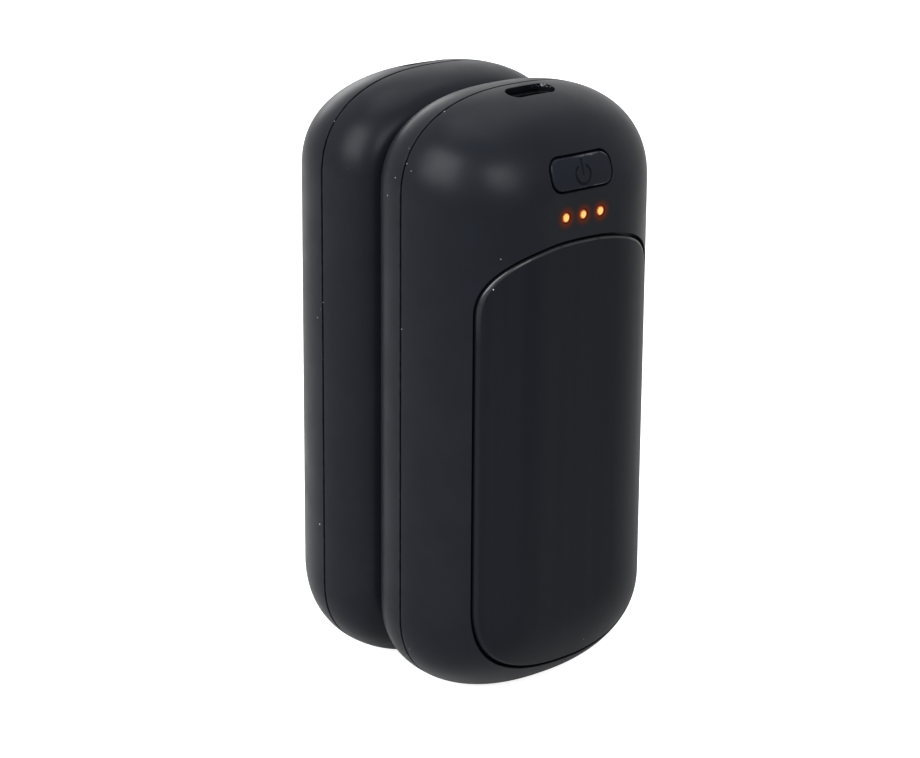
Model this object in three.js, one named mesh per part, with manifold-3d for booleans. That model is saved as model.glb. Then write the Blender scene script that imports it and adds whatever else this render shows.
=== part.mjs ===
import * as THREE from 'three';
import { mergeVertices } from 'three/addons/utils/BufferGeometryUtils.js';
import Module from 'manifold-3d';

// A rechargeable hand warmer: two like units, held back to back by magnets.
// Millimetres, +Z up. Each unit stands on its end, the front one with its heat
// plate towards -Y, the rear one turned round. The front unit pulls off along -Y.
//
// A unit is drawn round its own seam plane, y = 0: the deep shell lies in front of
// it, the shallow cover behind. The outline in X and Z is a straight-sided body
// with a rounded cap at each end. An "inset" is a distance in from that outline. The
// top end is a little blunter, so there an inset counts for less.

const wasm = await Module();
wasm.setup();

// One unit's outer form
const width = 46.7;
const height = 99.6;
const frontDepth = 16.4;
const backDepth = 9.7;
const topCap = 15.5;
const bottomCap = 16;
const frontRound = 16.2;
const backRound = 7.5;
const footCut = 0.4;
const topInsetShare = 0.86;
// How full each curve is: 2 is an ellipse, and more is squarer
const topFullness = 2.42;
const bottomFullness = 2.32;
const frontFullness = 1.9;
const backFullness = 2.33;

// Walls, seams and clearances
const wall = 2.2;
const backWall = 1.6;
const seamGap = 0.4;
const unitGap = 0.3;
const clearance = 0.3;
const slimClearance = 0.2;
const weldTolerance = 0.0001;
const overrun = 1;
const lipWall = 1.2;
const tongueDepth = 1.3;

// The heat plate, and what lies behind it
const plateMargin = 5.55;
const plateDrop = 22.1;
const plateBottom = 5.9;
const plateTopCap = 10.9;
const plateBottomCap = 12.8;
const plateTopFullness = 2.47;
const plateBottomFullness = 2.45;
const plateThickness = 1;
const plateGroove = 0.45;
const plateLedge = 2;
const filmThickness = 0.3;

// The power button and its switch
const buttonWidth = 12.2;
const buttonHeight = 4.9;
const buttonCorner = 1.8;
const buttonDrop = 11.3;
const buttonGap = 0.35;
const buttonStandsOut = 0.15;
const buttonFlange = 0.8;
const flangeThickness = 0.7;
const stemRadius = 1.5;
const symbolRadius = 1.4;
const symbolLine = 0.36;
const symbolSink = 0.3;
const symbolBar = 1.95;
const symbolBarLift = 0.8;
const symbolDepth = 0.15;
const symbolOpening = Math.PI / 5;
const switchSize = 4.5;
const switchHeight = 2;
const plungerRadius = 1.2;
const plungerReach = 1;
const plungerBore = 1.2;

// The three indicator lights
const lightDrop = 18;
const lightPitch = 3.6;
const lightRadius = 0.75;
const guideBarHeight = 3;
const guideBarFromBoard = 2.7;
const guideBarThickness = 1.2;
const ledWidth = 1.6;
const ledHeight = 0.8;
const ledThickness = 0.6;

// The circuit board and the screws that hold it
const boardThickness = 1;
const boardRoom = 0.4;
const boardLength = 33;
const postMargin = 9.8;
const postDrop = 20;
const postRadius = 2.3;
const screwRadius = 0.85;
const screwTipRoom = 0.6;
const screwHeadRadius = 1.7;
const screwHeadHeight = 1.1;

// The USB-C socket
const socketWidth = 8.94;
const socketThickness = 3.2;
const socketLength = 7.3;
const socketSkin = 0.3;
const socketCorner = 1.55;
const socketFromSeam = 3.5;
const socketSink = 1.4;
const portWidth = 9.6;
const portThickness = 3.7;
const tongueWidth = 6.7;
const tongueThickness = 0.7;
const tongueLength = 5.2;
const tongueBase = 1.4;

// The battery and its tape
const batterySideRoom = 1.9;
const batteryEndRoom = 0.6;
const batteryTopRoom = 2;
const batteryThickness = 13;
const batteryCorner = 2;
const tapeWidth = 22;
const tapeThickness = 1.8;
const tapeRoom = 2;

// Magnets and the thermistor
const magnetRadius = 5;
const magnetThickness = 1.8;
const magnetMargin = 5;
const magnetPocket = 0.8;
const thermistorAcross = 9;
const thermistorWidth = 1.6;
const thermistorHeight = 3;
const thermistorThickness = 1;

// Heights and widths that follow from these
const plateHalfWidth = width / 2 - plateMargin;
const plateTop = height - plateDrop;
const plateMiddle = [0, (plateTop + plateBottom) / 2];
const buttonUp = height - buttonDrop;
const lightUp = height - lightDrop;

// How finely the curves are cut
const quarterSteps = 8;
const roundSteps = 16;
const cornerSteps = 4;
const symbolSteps = 16;
const bisections = 30;
const frontInsetShares = [0.01, 0.045, 0.11, 0.2, 0.32, 0.47, 0.65, 0.83, 1];
const innerInsetShares = [0.03, 0.12, 0.28, 0.5, 0.75, 1];
const backInsetShares = [0.012, 0.05, 0.13, 0.27, 0.5, 1];
const plateShares = [0.4, 0.68];
const seatShares = [0.7, 0.85, 1];
const buttonShares = [0.5, 1];

// The height of a rounded edge above its rim, at an inset from the rim
function roundedHeight(depth, round, fullness, inset) {
  const share = THREE.MathUtils.clamp(inset / round, 0, 1);
  return depth * (1 - (1 - share) ** fullness) ** (1 / fullness);
}

// The inset from the rim at which a rounded edge reaches a depth
function roundedInset(depth, round, fullness, reached) {
  const share = THREE.MathUtils.clamp(reached / depth, 0, 1);
  return round * (1 - (1 - share ** fullness) ** (1 / fullness));
}

// The four rounded quarters of an outline, from the right-hand side round
function roundedOutline(halfWidth, top, bottom, topHeight, bottomHeight, fullnessUp, fullnessDown) {
  const points = [];
  const quarter = (side, up, first, last) => {
    const step = Math.sign(last - first);
    for (let i = first; i !== last + step; i += step) {
      const angle = (i / quarterSteps) * (Math.PI / 2);
      const power = 2 / (up ? fullnessUp : fullnessDown);
      const x = i === quarterSteps ? 0 : side * halfWidth * Math.cos(angle) ** power;
      const rise = Math.sin(angle) ** power;
      const z = up ? top - topHeight * (1 - rise) : bottom + bottomHeight * (1 - rise);
      points.push([x, z]);
    }
  };
  quarter(1, true, 0, quarterSteps);
  quarter(-1, true, quarterSteps - 1, 0);
  quarter(-1, false, 0, quarterSteps);
  quarter(1, false, quarterSteps - 1, 0);
  return points;
}

function unitOutline(inset) {
  const scale = (width / 2 - inset) / (width / 2);
  return roundedOutline(
    width / 2 - inset, height - inset * topInsetShare, inset - footCut,
    topCap * scale, bottomCap * scale, topFullness, bottomFullness,
  );
}

function plateOutline(growth) {
  const scale = (plateHalfWidth + growth) / plateHalfWidth;
  return roundedOutline(
    plateHalfWidth + growth, plateTop + growth, plateBottom - growth,
    plateTopCap * scale, plateBottomCap * scale, plateTopFullness, plateBottomFullness,
  );
}

// Whether a place in X and Z lies inside the outline at an inset
function liesInside(x, z, inset) {
  const halfWidth = width / 2 - inset;
  const scale = halfWidth / (width / 2);
  const topRise = (z - (height - inset * topInsetShare - topCap * scale)) / (topCap * scale);
  const bottomRise = (inset - footCut + bottomCap * scale - z) / (bottomCap * scale);
  const rise = Math.max(topRise, bottomRise, 0);
  const fullness = topRise > bottomRise ? topFullness : bottomFullness;
  return (Math.abs(x) / halfWidth) ** fullness + rise ** fullness <= 1;
}

function insetAt(x, z) {
  let outer = 0;
  let inner = width / 2;
  for (let i = 0; i < bisections; i += 1) {
    const middle = (outer + inner) / 2;
    if (liesInside(x, z, middle)) outer = middle;
    else inner = middle;
  }
  return outer;
}

// The y of the front surface, or of the surface a given depth under it
function frontY(x, z, under) {
  const inset = insetAt(x, z) - under;
  return -roundedHeight(frontDepth - under, frontRound - under, frontFullness, inset);
}

// The lowest z of the outline at an inset, at a place in X
function outlineFloor(x, inset) {
  const halfWidth = width / 2 - inset;
  const capHeight = bottomCap * (halfWidth / (width / 2));
  const rise = (1 - (Math.abs(x) / halfWidth) ** bottomFullness) ** (1 / bottomFullness);
  return inset - footCut + capHeight * (1 - rise);
}

// The inset of the hollow's wall at a depth in front of the seam, and behind it
function hollowInset(depth) {
  return wall + roundedInset(frontDepth - wall, frontRound - wall, frontFullness, depth);
}

function coverHollowInset(depth) {
  return wall + roundedInset(backFloor, backRound - wall, backFullness, depth);
}

// Solids

function solidOf(geometry) {
  const bare = geometry.clone();
  bare.deleteAttribute('normal');
  bare.deleteAttribute('uv');
  const merged = mergeVertices(bare, weldTolerance);
  const vertProperties = new Float32Array(merged.attributes.position.array);
  const triVerts = new Uint32Array(merged.index.array);
  return new wasm.Manifold(new wasm.Mesh({ numProp: 3, vertProperties, triVerts }));
}

function geometryOf(solid) {
  const { vertProperties, triVerts } = solid.getMesh();
  const geometry = new THREE.BufferGeometry();
  geometry.setAttribute('position', new THREE.BufferAttribute(vertProperties, 3));
  geometry.setIndex(new THREE.BufferAttribute(triVerts, 1));
  geometry.computeVertexNormals();
  return geometry;
}

// A closed skin over rings of points, front to back, with a tip at each end
function loft(rings, frontTip, backTip) {
  const count = rings[0].length;
  const positions = [frontTip, ...rings.flat(), backTip].flat();
  const last = rings.length * count + 1;
  const index = [];
  for (let i = 0; i < count; i += 1) {
    const next = (i + 1) % count;
    index.push(0, i + 1, next + 1);
    for (let ring = 0; ring < rings.length - 1; ring += 1) {
      const a = ring * count + i + 1;
      const b = ring * count + next + 1;
      index.push(a, a + count, b, b, a + count, b + count);
    }
    index.push(last, last - count + next, last - count + i);
  }
  const geometry = new THREE.BufferGeometry();
  geometry.setAttribute('position', new THREE.Float32BufferAttribute(positions, 3));
  geometry.setIndex(index);
  return solidOf(geometry);
}

const levelRing = (outline, y) => outline.map(([x, z]) => [x, y, z]);
const middleUp = (height - footCut) / 2;

function levelLoft(rings) {
  const tip = (ring) => [0, ring[0][1], middleUp];
  return loft(rings, tip(rings[0]), tip(rings[rings.length - 1]));
}

// The solid between two surfaces over an outline, shrunk in rings about its middle
function fieldSolid(outline, middle, shares, yFront, yBack) {
  const ring = (share, surface) => outline.map(([x, z]) => {
    const across = middle[0] + (x - middle[0]) * share;
    const up = middle[1] + (z - middle[1]) * share;
    return [across, surface(across, up), up];
  });
  const front = shares.map((share) => ring(share, yFront));
  const back = shares.map((share) => ring(share, yBack)).reverse();
  const tip = (surface) => [middle[0], surface(...middle), middle[1]];
  return loft([...front, ...back], tip(yFront), tip(yBack));
}

function roundedRectangle(across, up, corner) {
  const shape = new THREE.Shape();
  const x = across / 2 - corner;
  const y = up / 2 - corner;
  shape.absarc(x, y, corner, 0, Math.PI / 2);
  shape.absarc(-x, y, corner, Math.PI / 2, Math.PI);
  shape.absarc(-x, -y, corner, Math.PI, (3 * Math.PI) / 2);
  shape.absarc(x, -y, corner, (3 * Math.PI) / 2, 2 * Math.PI);
  shape.closePath();
  return shape;
}

function shapeOf(outline) {
  return new THREE.Shape(outline.map(([x, z]) => new THREE.Vector2(x, z)));
}

// A shape's points, each once, moved to a place in X and Z
function outlineOf(shape, x, z) {
  const points = shape.extractPoints(cornerSteps).shape;
  const apart = points.filter((point, i) => (
    point.distanceTo(points[(i + 1) % points.length]) > weldTolerance
  ));
  return apart.map((point) => [x + point.x, z + point.y]);
}

// A shape in X and Z, drawn out along Y, at a place in X and Z
function alongY(shape, yFront, yBack, x = 0, z = 0, curveSegments = cornerSteps) {
  const geometry = new THREE.ExtrudeGeometry(shape, {
    depth: yBack - yFront, bevelEnabled: false, curveSegments,
  });
  return solidOf(geometry.rotateX(Math.PI / 2).translate(x, yBack, z));
}

// A shape in X and Y, drawn out along Z, at a place in Y
function alongZ(shape, zLow, zHigh, y) {
  const geometry = new THREE.ExtrudeGeometry(shape, {
    depth: zHigh - zLow, bevelEnabled: false, curveSegments: cornerSteps,
  });
  return solidOf(geometry.translate(0, y, zLow));
}

function rod(radius, yFront, yBack, x, z) {
  const geometry = new THREE.CylinderGeometry(radius, radius, yBack - yFront, roundSteps);
  return solidOf(geometry.translate(x, (yFront + yBack) / 2, z));
}

function block(across, yFront, yBack, up, x, z) {
  const geometry = new THREE.BoxGeometry(across, yBack - yFront, up);
  return solidOf(geometry.translate(x, (yFront + yBack) / 2, z));
}

// Everything under the foot, which is cut flat so that the unit stands
function underFoot() {
  return block(width, -frontDepth, backDepth, 2 * bottomCap, 0, -bottomCap);
}

// Places worked out from the sizes above

const farFront = -frontDepth - overrun;
const socketY = -socketFromSeam;
const socketTop = height - socketSink;
const boardBackY = socketY - socketThickness / 2;
const boardY = boardBackY - boardThickness;
const boardBottom = height - boardLength;
const postAcross = width / 2 - postMargin;
const postUp = height - postDrop;
const screwTipY = frontY(postAcross, postUp, wall) + screwTipRoom;
const plungerY = boardY - switchHeight - plungerReach;
const backFloor = backDepth - backWall;
const batteryBack = backFloor - tapeThickness;
const batteryFront = batteryBack - batteryThickness;
const batteryInset = Math.max(hollowInset(-batteryFront), coverHollowInset(batteryBack));
const batterySide = width / 2 - batteryInset - batterySideRoom;
const batteryBottom = outlineFloor(batterySide, batteryInset) + batteryEndRoom;
const batteryTop = boardBottom - batteryTopRoom;
const magnetLow = backRound + magnetRadius + magnetMargin;
const magnetHigh = batteryTop - magnetRadius - magnetMargin;
const thermistorUp = (plateTop + plateBottom) / 2;
const filmFront = plateThickness + clearance;
const foamFront = filmFront + filmThickness + clearance;
const innerShares = [...plateShares, 1 - (plateLedge + clearance) / plateHalfWidth];
const lightsAcross = [-lightPitch, 0, lightPitch];

// The front shell

function shellForm() {
  const rim = levelRing(unitOutline(0), -seamGap / 2);
  const rings = frontInsetShares.map((share) => {
    const inset = share * frontRound;
    return levelRing(unitOutline(inset), -roundedHeight(frontDepth, frontRound, frontFullness, inset));
  });
  return levelLoft([...rings.reverse(), rim]);
}

// What lies deeper under the shell's outside than a depth
function shellInside(under) {
  const depth = frontDepth - under;
  const round = frontRound - under;
  const mouth = levelRing(unitOutline(under), overrun);
  const rings = innerInsetShares.map((share) => {
    const inset = share * round;
    return levelRing(unitOutline(under + inset), -roundedHeight(depth, round, frontFullness, inset));
  });
  return levelLoft([...rings.reverse(), levelRing(unitOutline(under), 0), mouth]);
}

function rimRebate() {
  const outline = unitOutline(lipWall);
  return levelLoft([
    levelRing(outline, -seamGap / 2 - tongueDepth - clearance),
    levelRing(outline, overrun),
  ]);
}

function plateSeat() {
  const floor = (x, z) => frontY(x, z, filmFront);
  return fieldSolid(plateOutline(plateGroove), plateMiddle, seatShares, () => farFront, floor);
}

function plateWindow() {
  const floor = (x, z) => frontY(x, z, wall + overrun);
  const share = 1 - plateLedge / plateHalfWidth;
  return fieldSolid(plateOutline(0), plateMiddle, [share], () => farFront, floor);
}

function buttonHole() {
  const middle = [0, buttonUp];
  const shape = roundedRectangle(
    buttonWidth + 2 * buttonGap, buttonHeight + 2 * buttonGap, buttonCorner + buttonGap,
  );
  const floor = (x, z) => frontY(x, z, wall + overrun);
  return fieldSolid(outlineOf(shape, ...middle), middle, [1], () => farFront, floor);
}

function lightHoles() {
  const holes = lightsAcross.map((x) => (
    rod(lightRadius + slimClearance, farFront, frontY(x, lightUp, wall) + overrun, x, lightUp)
  ));
  return wasm.Manifold.union(holes);
}

function portHole(growth) {
  const across = portWidth + 2 * growth;
  const thickness = portThickness + 2 * growth;
  const shape = roundedRectangle(across, thickness, thickness / 2);
  return alongZ(shape, socketTop - socketLength, height + overrun, socketY);
}

function boardPosts() {
  const posts = [-postAcross, postAcross].map((x) => {
    const post = rod(postRadius, farFront, boardY, x, postUp);
    const bore = rod(screwRadius + slimClearance, screwTipY - clearance, boardY + overrun, x, postUp);
    return post.subtract(bore);
  });
  return wasm.Manifold.union(posts).intersect(shellInside(wall / 2));
}

function frontShell() {
  return shellForm()
    .subtract(shellInside(wall))
    .subtract(rimRebate())
    .subtract(plateSeat())
    .subtract(plateWindow())
    .subtract(buttonHole())
    .subtract(lightHoles())
    .subtract(portHole(0))
    .add(boardPosts())
    .subtract(underFoot());
}

// The back cover, with the tongue that enters the shell

function coverForm() {
  const rim = levelRing(unitOutline(0), seamGap / 2);
  const rings = backInsetShares.map((share) => {
    const inset = share * backRound;
    return levelRing(unitOutline(inset), roundedHeight(backDepth, backRound, backFullness, inset));
  });
  return levelLoft([rim, ...rings]);
}

function coverTongue() {
  const outline = unitOutline(lipWall + clearance);
  return levelLoft([
    levelRing(outline, -seamGap / 2 - tongueDepth),
    levelRing(outline, overrun),
  ]);
}

function coverHollow() {
  const round = backRound - wall;
  const rings = innerInsetShares.map((share) => {
    const inset = share * round;
    return levelRing(unitOutline(wall + inset), roundedHeight(backFloor, round, backFullness, inset));
  });
  const outline = unitOutline(wall);
  return levelLoft([levelRing(outline, -frontDepth), levelRing(outline, 0), ...rings]);
}

function backCover() {
  const pockets = [magnetLow, magnetHigh].map((z) => (
    rod(magnetRadius + clearance, 0, backFloor + magnetPocket, 0, z)
  ));
  const notchedTongue = coverTongue().subtract(portHole(clearance));
  return coverForm()
    .add(notchedTongue)
    .subtract(coverHollow())
    .subtract(wasm.Manifold.union(pockets))
    .subtract(underFoot());
}

// The heat plate, the heater behind it and the foam that backs the heater

function heatPlate() {
  const face = (x, z) => frontY(x, z, 0);
  const back = (x, z) => frontY(x, z, plateThickness);
  return fieldSolid(plateOutline(0), plateMiddle, [...innerShares, 1], face, back);
}

function heatingFilm() {
  const front = (x, z) => frontY(x, z, filmFront);
  const back = (x, z) => frontY(x, z, filmFront + filmThickness);
  return fieldSolid(plateOutline(0), plateMiddle, innerShares, front, back);
}

function foamPad() {
  const front = (x, z) => frontY(x, z, foamFront);
  const back = () => batteryFront - clearance;
  const pad = fieldSolid(plateOutline(0), plateMiddle, innerShares, front, back);
  const notch = block(
    thermistorWidth + 2 * clearance, farFront, thermistorY() + thermistorThickness + clearance,
    thermistorHeight + 2 * clearance, thermistorAcross, thermistorUp,
  );
  return pad.subtract(notch);
}

function thermistorY() {
  return frontY(thermistorAcross, thermistorUp, foamFront) + clearance;
}

// The button cap, with its flange, its stem and the power symbol cut in its face

function powerSymbol() {
  const arc = new THREE.Shape();
  const start = Math.PI / 2 + symbolOpening;
  const end = Math.PI / 2 - symbolOpening + 2 * Math.PI;
  arc.absarc(0, 0, symbolRadius + symbolLine / 2, start, end, false);
  arc.absarc(0, 0, symbolRadius - symbolLine / 2, end, start, true);
  arc.closePath();
  const bar = roundedRectangle(symbolLine, symbolBar, symbolLine / 2);
  const arcCut = alongY(arc, farFront, boardY, 0, buttonUp - symbolSink, symbolSteps);
  return arcCut.add(alongY(bar, farFront, boardY, 0, buttonUp + symbolBarLift));
}

function powerButton() {
  const middle = [0, buttonUp];
  const flangeFront = wall + clearance;
  const flangeBack = flangeFront + flangeThickness;
  const capShape = roundedRectangle(buttonWidth, buttonHeight, buttonCorner);
  const flangeShape = roundedRectangle(
    buttonWidth + 2 * (buttonGap + buttonFlange),
    buttonHeight + 2 * (buttonGap + buttonFlange),
    buttonCorner + buttonGap,
  );
  const under = (depth) => (x, z) => frontY(x, z, depth);
  const middleOfFlange = (flangeFront + flangeBack) / 2;
  const cap = fieldSolid(
    outlineOf(capShape, ...middle), middle, buttonShares, under(-buttonStandsOut), under(middleOfFlange),
  );
  const flange = fieldSolid(
    outlineOf(flangeShape, ...middle), middle, buttonShares, under(flangeFront), under(flangeBack),
  );
  const overFace = fieldSolid(
    outlineOf(capShape, ...middle), middle, buttonShares, () => farFront,
    under(symbolDepth - buttonStandsOut),
  );
  const stem = rod(stemRadius, frontY(...middle, flangeFront), plungerY, ...middle);
  return cap.add(flange).add(stem).subtract(powerSymbol().intersect(overFace));
}

function tactSwitch() {
  return block(switchSize, boardY - switchHeight, boardY, switchSize, 0, buttonUp)
    .subtract(rod(
      plungerRadius + slimClearance, boardY - switchHeight - overrun,
      boardY - switchHeight + plungerBore, 0, buttonUp,
    ));
}

function switchPlunger() {
  const reach = boardY - switchHeight + plungerBore / 2;
  return rod(plungerRadius, plungerY, reach, 0, buttonUp);
}

// The lights: three clear pins on one bar, each in front of its LED

function lightGuide() {
  const barY = boardY - guideBarFromBoard - guideBarThickness;
  const bar = block(
    2 * lightPitch + guideBarHeight, barY, barY + guideBarThickness, guideBarHeight, 0, lightUp,
  );
  const pins = lightsAcross.map((x) => (
    rod(lightRadius, farFront, boardY - ledThickness - clearance, x, lightUp)
  ));
  return wasm.Manifold.union(pins).intersect(shellForm()).add(bar);
}

function led(x) {
  return block(ledWidth, boardY - ledThickness, boardY, ledHeight, x, lightUp);
}

// The circuit board and its screws

function circuitBoard() {
  const inset = hollowInset(-boardY) + boardRoom;
  const outline = unitOutline(inset).filter(([, z]) => z > middleUp);
  const side = width / 2 - inset;
  const shape = shapeOf([[side, boardBottom], ...outline, [-side, boardBottom]]);
  const holes = [-postAcross, postAcross].map((x) => (
    rod(screwRadius + slimClearance, boardY - overrun, boardBackY + overrun, x, postUp)
  ));
  return alongY(shape, boardY, boardBackY).subtract(wasm.Manifold.union(holes));
}

function boardScrew(x) {
  const shank = rod(screwRadius, screwTipY, boardBackY, x, postUp);
  return shank.add(rod(screwHeadRadius, boardBackY, boardBackY + screwHeadHeight, x, postUp));
}

// The USB-C socket: a metal sleeve, open at the top, round a tongue on its base

function socketSleeve() {
  const outer = roundedRectangle(socketWidth, socketThickness, socketCorner);
  const inner = roundedRectangle(
    socketWidth - 2 * socketSkin, socketThickness - 2 * socketSkin, socketCorner - socketSkin,
  );
  const bottom = socketTop - socketLength;
  return alongZ(outer, bottom, socketTop, socketY)
    .subtract(alongZ(inner, bottom + socketSkin, socketTop + overrun, socketY));
}

function socketTongue() {
  const skin = socketSkin + slimClearance;
  const base = roundedRectangle(
    socketWidth - 2 * skin, socketThickness - 2 * skin, socketCorner - skin,
  );
  const blade = roundedRectangle(tongueWidth, tongueThickness, tongueThickness / 2);
  const low = socketTop - socketLength + skin;
  return alongZ(base, low, low + tongueBase, socketY)
    .add(alongZ(blade, low, low + tongueBase + tongueLength, socketY));
}

// The battery, the tape that holds it to the cover, the magnets and the thermistor

function battery() {
  const shape = roundedRectangle(2 * batterySide, batteryTop - batteryBottom, batteryCorner);
  return alongY(shape, batteryFront, batteryBack, 0, (batteryTop + batteryBottom) / 2);
}

function batteryTape() {
  const reach = magnetRadius + tapeRoom;
  const length = magnetHigh - magnetLow - 2 * reach;
  return block(tapeWidth, batteryBack, backFloor, length, 0, (magnetHigh + magnetLow) / 2);
}

function magnet(z) {
  const back = backFloor + magnetPocket - slimClearance;
  return rod(magnetRadius, back - magnetThickness, back, 0, z);
}

function thermistor() {
  return block(
    thermistorWidth, thermistorY(), thermistorY() + thermistorThickness,
    thermistorHeight, thermistorAcross, thermistorUp,
  );
}

// The pieces of one unit, with their colours

const finishes = {
  shell: { color: 0x2a2b30, roughness: 0.55, metalness: 0 },
  plate: { color: 0x26272b, roughness: 0.45, metalness: 0.1 },
  button: { color: 0x2c2d32, roughness: 0.5, metalness: 0 },
  light: { color: 0xffa43c, roughness: 0.2, metalness: 0 },
  film: { color: 0xb4702a, roughness: 0.4, metalness: 0 },
  foam: { color: 0x3a3a3c, roughness: 0.95, metalness: 0 },
  board: { color: 0x17542c, roughness: 0.4, metalness: 0 },
  steel: { color: 0xb8babd, roughness: 0.3, metalness: 1 },
  magnet: { color: 0xc4c6ca, roughness: 0.25, metalness: 1 },
  cell: { color: 0x9a9da3, roughness: 0.45, metalness: 0.6 },
  tape: { color: 0xe8e4d8, roughness: 0.8, metalness: 0 },
  black: { color: 0x151517, roughness: 0.5, metalness: 0 },
  led: { color: 0xf2e6c0, roughness: 0.4, metalness: 0 },
};

const pieces = [
  ['shell', 'shell', frontShell()],
  ['cover', 'shell', backCover()],
  ['heat_plate', 'plate', heatPlate()],
  ['heating_film', 'film', heatingFilm()],
  ['foam_pad', 'foam', foamPad()],
  ['power_button', 'button', powerButton()],
  ['switch_plunger', 'black', switchPlunger()],
  ['tact_switch', 'black', tactSwitch()],
  ['light_guide', 'light', lightGuide()],
  ['led_left', 'led', led(lightsAcross[0])],
  ['led_middle', 'led', led(lightsAcross[1])],
  ['led_right', 'led', led(lightsAcross[2])],
  ['circuit_board', 'board', circuitBoard()],
  ['board_screw_left', 'steel', boardScrew(-postAcross)],
  ['board_screw_right', 'steel', boardScrew(postAcross)],
  ['usb_sleeve', 'steel', socketSleeve()],
  ['usb_tongue', 'black', socketTongue()],
  ['battery', 'cell', battery()],
  ['battery_tape', 'tape', batteryTape()],
  ['magnet_low', 'magnet', magnet(magnetLow)],
  ['magnet_high', 'magnet', magnet(magnetHigh)],
  ['thermistor', 'black', thermistor()],
];

function unit(name, seamY, turn) {
  const group = new THREE.Group();
  group.position.y = seamY;
  group.rotation.z = turn;
  for (const [piece, finish, solid] of pieces) {
    const mesh = new THREE.Mesh(geometryOf(solid), new THREE.MeshStandardMaterial(finishes[finish]));
    mesh.name = `${name}_${piece}`;
    group.add(mesh);
  }
  return group;
}

const handWarmer = new THREE.Group();
handWarmer.add(unit('front_unit', -unitGap / 2 - backDepth, 0));
handWarmer.add(unit('rear_unit', unitGap / 2 + backDepth, Math.PI));

export default handWarmer;
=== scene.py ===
# %% [markdown]
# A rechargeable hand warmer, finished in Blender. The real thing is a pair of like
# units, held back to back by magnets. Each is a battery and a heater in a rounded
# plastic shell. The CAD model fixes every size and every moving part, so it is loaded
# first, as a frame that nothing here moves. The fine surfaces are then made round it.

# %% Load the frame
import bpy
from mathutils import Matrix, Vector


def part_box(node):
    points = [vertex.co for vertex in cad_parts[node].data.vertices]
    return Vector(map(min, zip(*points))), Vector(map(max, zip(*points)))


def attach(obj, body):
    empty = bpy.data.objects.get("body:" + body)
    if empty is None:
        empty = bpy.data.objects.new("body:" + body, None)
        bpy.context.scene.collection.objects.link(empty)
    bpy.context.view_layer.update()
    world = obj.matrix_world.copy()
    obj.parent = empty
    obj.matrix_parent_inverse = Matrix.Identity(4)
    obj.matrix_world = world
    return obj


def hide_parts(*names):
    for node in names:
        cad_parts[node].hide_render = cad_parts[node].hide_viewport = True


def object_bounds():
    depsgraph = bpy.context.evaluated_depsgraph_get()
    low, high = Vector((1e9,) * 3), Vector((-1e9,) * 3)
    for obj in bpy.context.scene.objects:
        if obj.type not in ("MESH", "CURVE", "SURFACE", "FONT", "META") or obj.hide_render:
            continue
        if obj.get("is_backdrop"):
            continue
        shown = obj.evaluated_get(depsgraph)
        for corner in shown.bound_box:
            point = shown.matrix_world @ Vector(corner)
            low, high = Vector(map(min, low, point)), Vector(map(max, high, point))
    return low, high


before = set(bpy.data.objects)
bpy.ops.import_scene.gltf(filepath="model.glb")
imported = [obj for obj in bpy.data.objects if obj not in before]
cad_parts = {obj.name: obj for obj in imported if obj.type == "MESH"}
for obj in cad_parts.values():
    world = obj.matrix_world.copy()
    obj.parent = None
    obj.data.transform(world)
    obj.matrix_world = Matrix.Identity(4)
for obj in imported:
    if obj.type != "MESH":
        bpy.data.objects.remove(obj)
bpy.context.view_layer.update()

# %% [markdown]
# Blender works in metres, but a maker thinks of this object in millimetres. So all
# forms are drawn in millimetres round one unit's own seam plane, y = 0, with the deep
# shell in front of it (towards -Y) and the shallow cover behind. Each finished form
# is used twice: as drawn in the front unit, and turned half round in the rear one.
# The driving sizes are measured on the frame.

# %% Measure one unit on the frame
import math

import bpy
import numpy as np

MM = 0.001
UNIT_TURNS = {"front_unit": 0.0, "rear_unit": math.pi}
SEAM_GAP = 0.4


def box_mm(node):
    """A CAD node's lowest and highest corners, in millimetres."""
    low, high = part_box(node)
    return np.array(low) / MM, np.array(high) / MM


def seam_of(unit):
    """The y of a unit's seam plane, half a gap past the open side of its shell."""
    low, high = box_mm(f"{unit}_shell")
    return low[1] - SEAM_GAP / 2 if UNIT_TURNS[unit] else high[1] + SEAM_GAP / 2


def corners_of(part):
    """The corners of one of the front unit's CAD nodes, measured from its seam."""
    return np.array(box_mm(f"front_unit_{part}")) - [0, seam_of("front_unit"), 0]


def middle_of(part):
    """The middle of one of the front unit's CAD nodes, in X and Z."""
    return corners_of(part).mean(0)[[0, 2]]


shell_low, shell_high = corners_of("shell")
plate_low, plate_high = corners_of("heat_plate")
WIDTH = shell_high[0] - shell_low[0]
HEIGHT = shell_high[2]
FRONT_DEPTH = -shell_low[1]
BACK_DEPTH = corners_of("cover")[1][1]
print(f"One unit: {WIDTH:.1f} wide, {HEIGHT:.1f} high, {FRONT_DEPTH:.1f} + {BACK_DEPTH:.1f} deep")

# %% [markdown]
# Seen from the front, a unit is a straight-sided bar with a rounded cap at each end.
# A plain half circle would look pinched, so each cap is a superellipse: a circle's
# formula with a power of its own, its fullness. At 2 it is an ellipse, and above 2
# it grows squarer, as the real cap is. The top end is also blunter than the sides, so
# there an inset counts for a little less. All outlines run anticlockwise, seen from the
# front, and have the same count of points at any size, so rings of them can be joined.

# %% Draw outlines in X and Z
TOP_CAP, BOTTOM_CAP = 15.5, 16
TOP_FULLNESS, BOTTOM_FULLNESS = 2.42, 2.32
TOP_INSET_SHARE = 0.86
FOOT_CUT = 0.4
QUARTER_STEPS = 36
SIDE_STEPS = 14
CORNER_STEPS = 8


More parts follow.
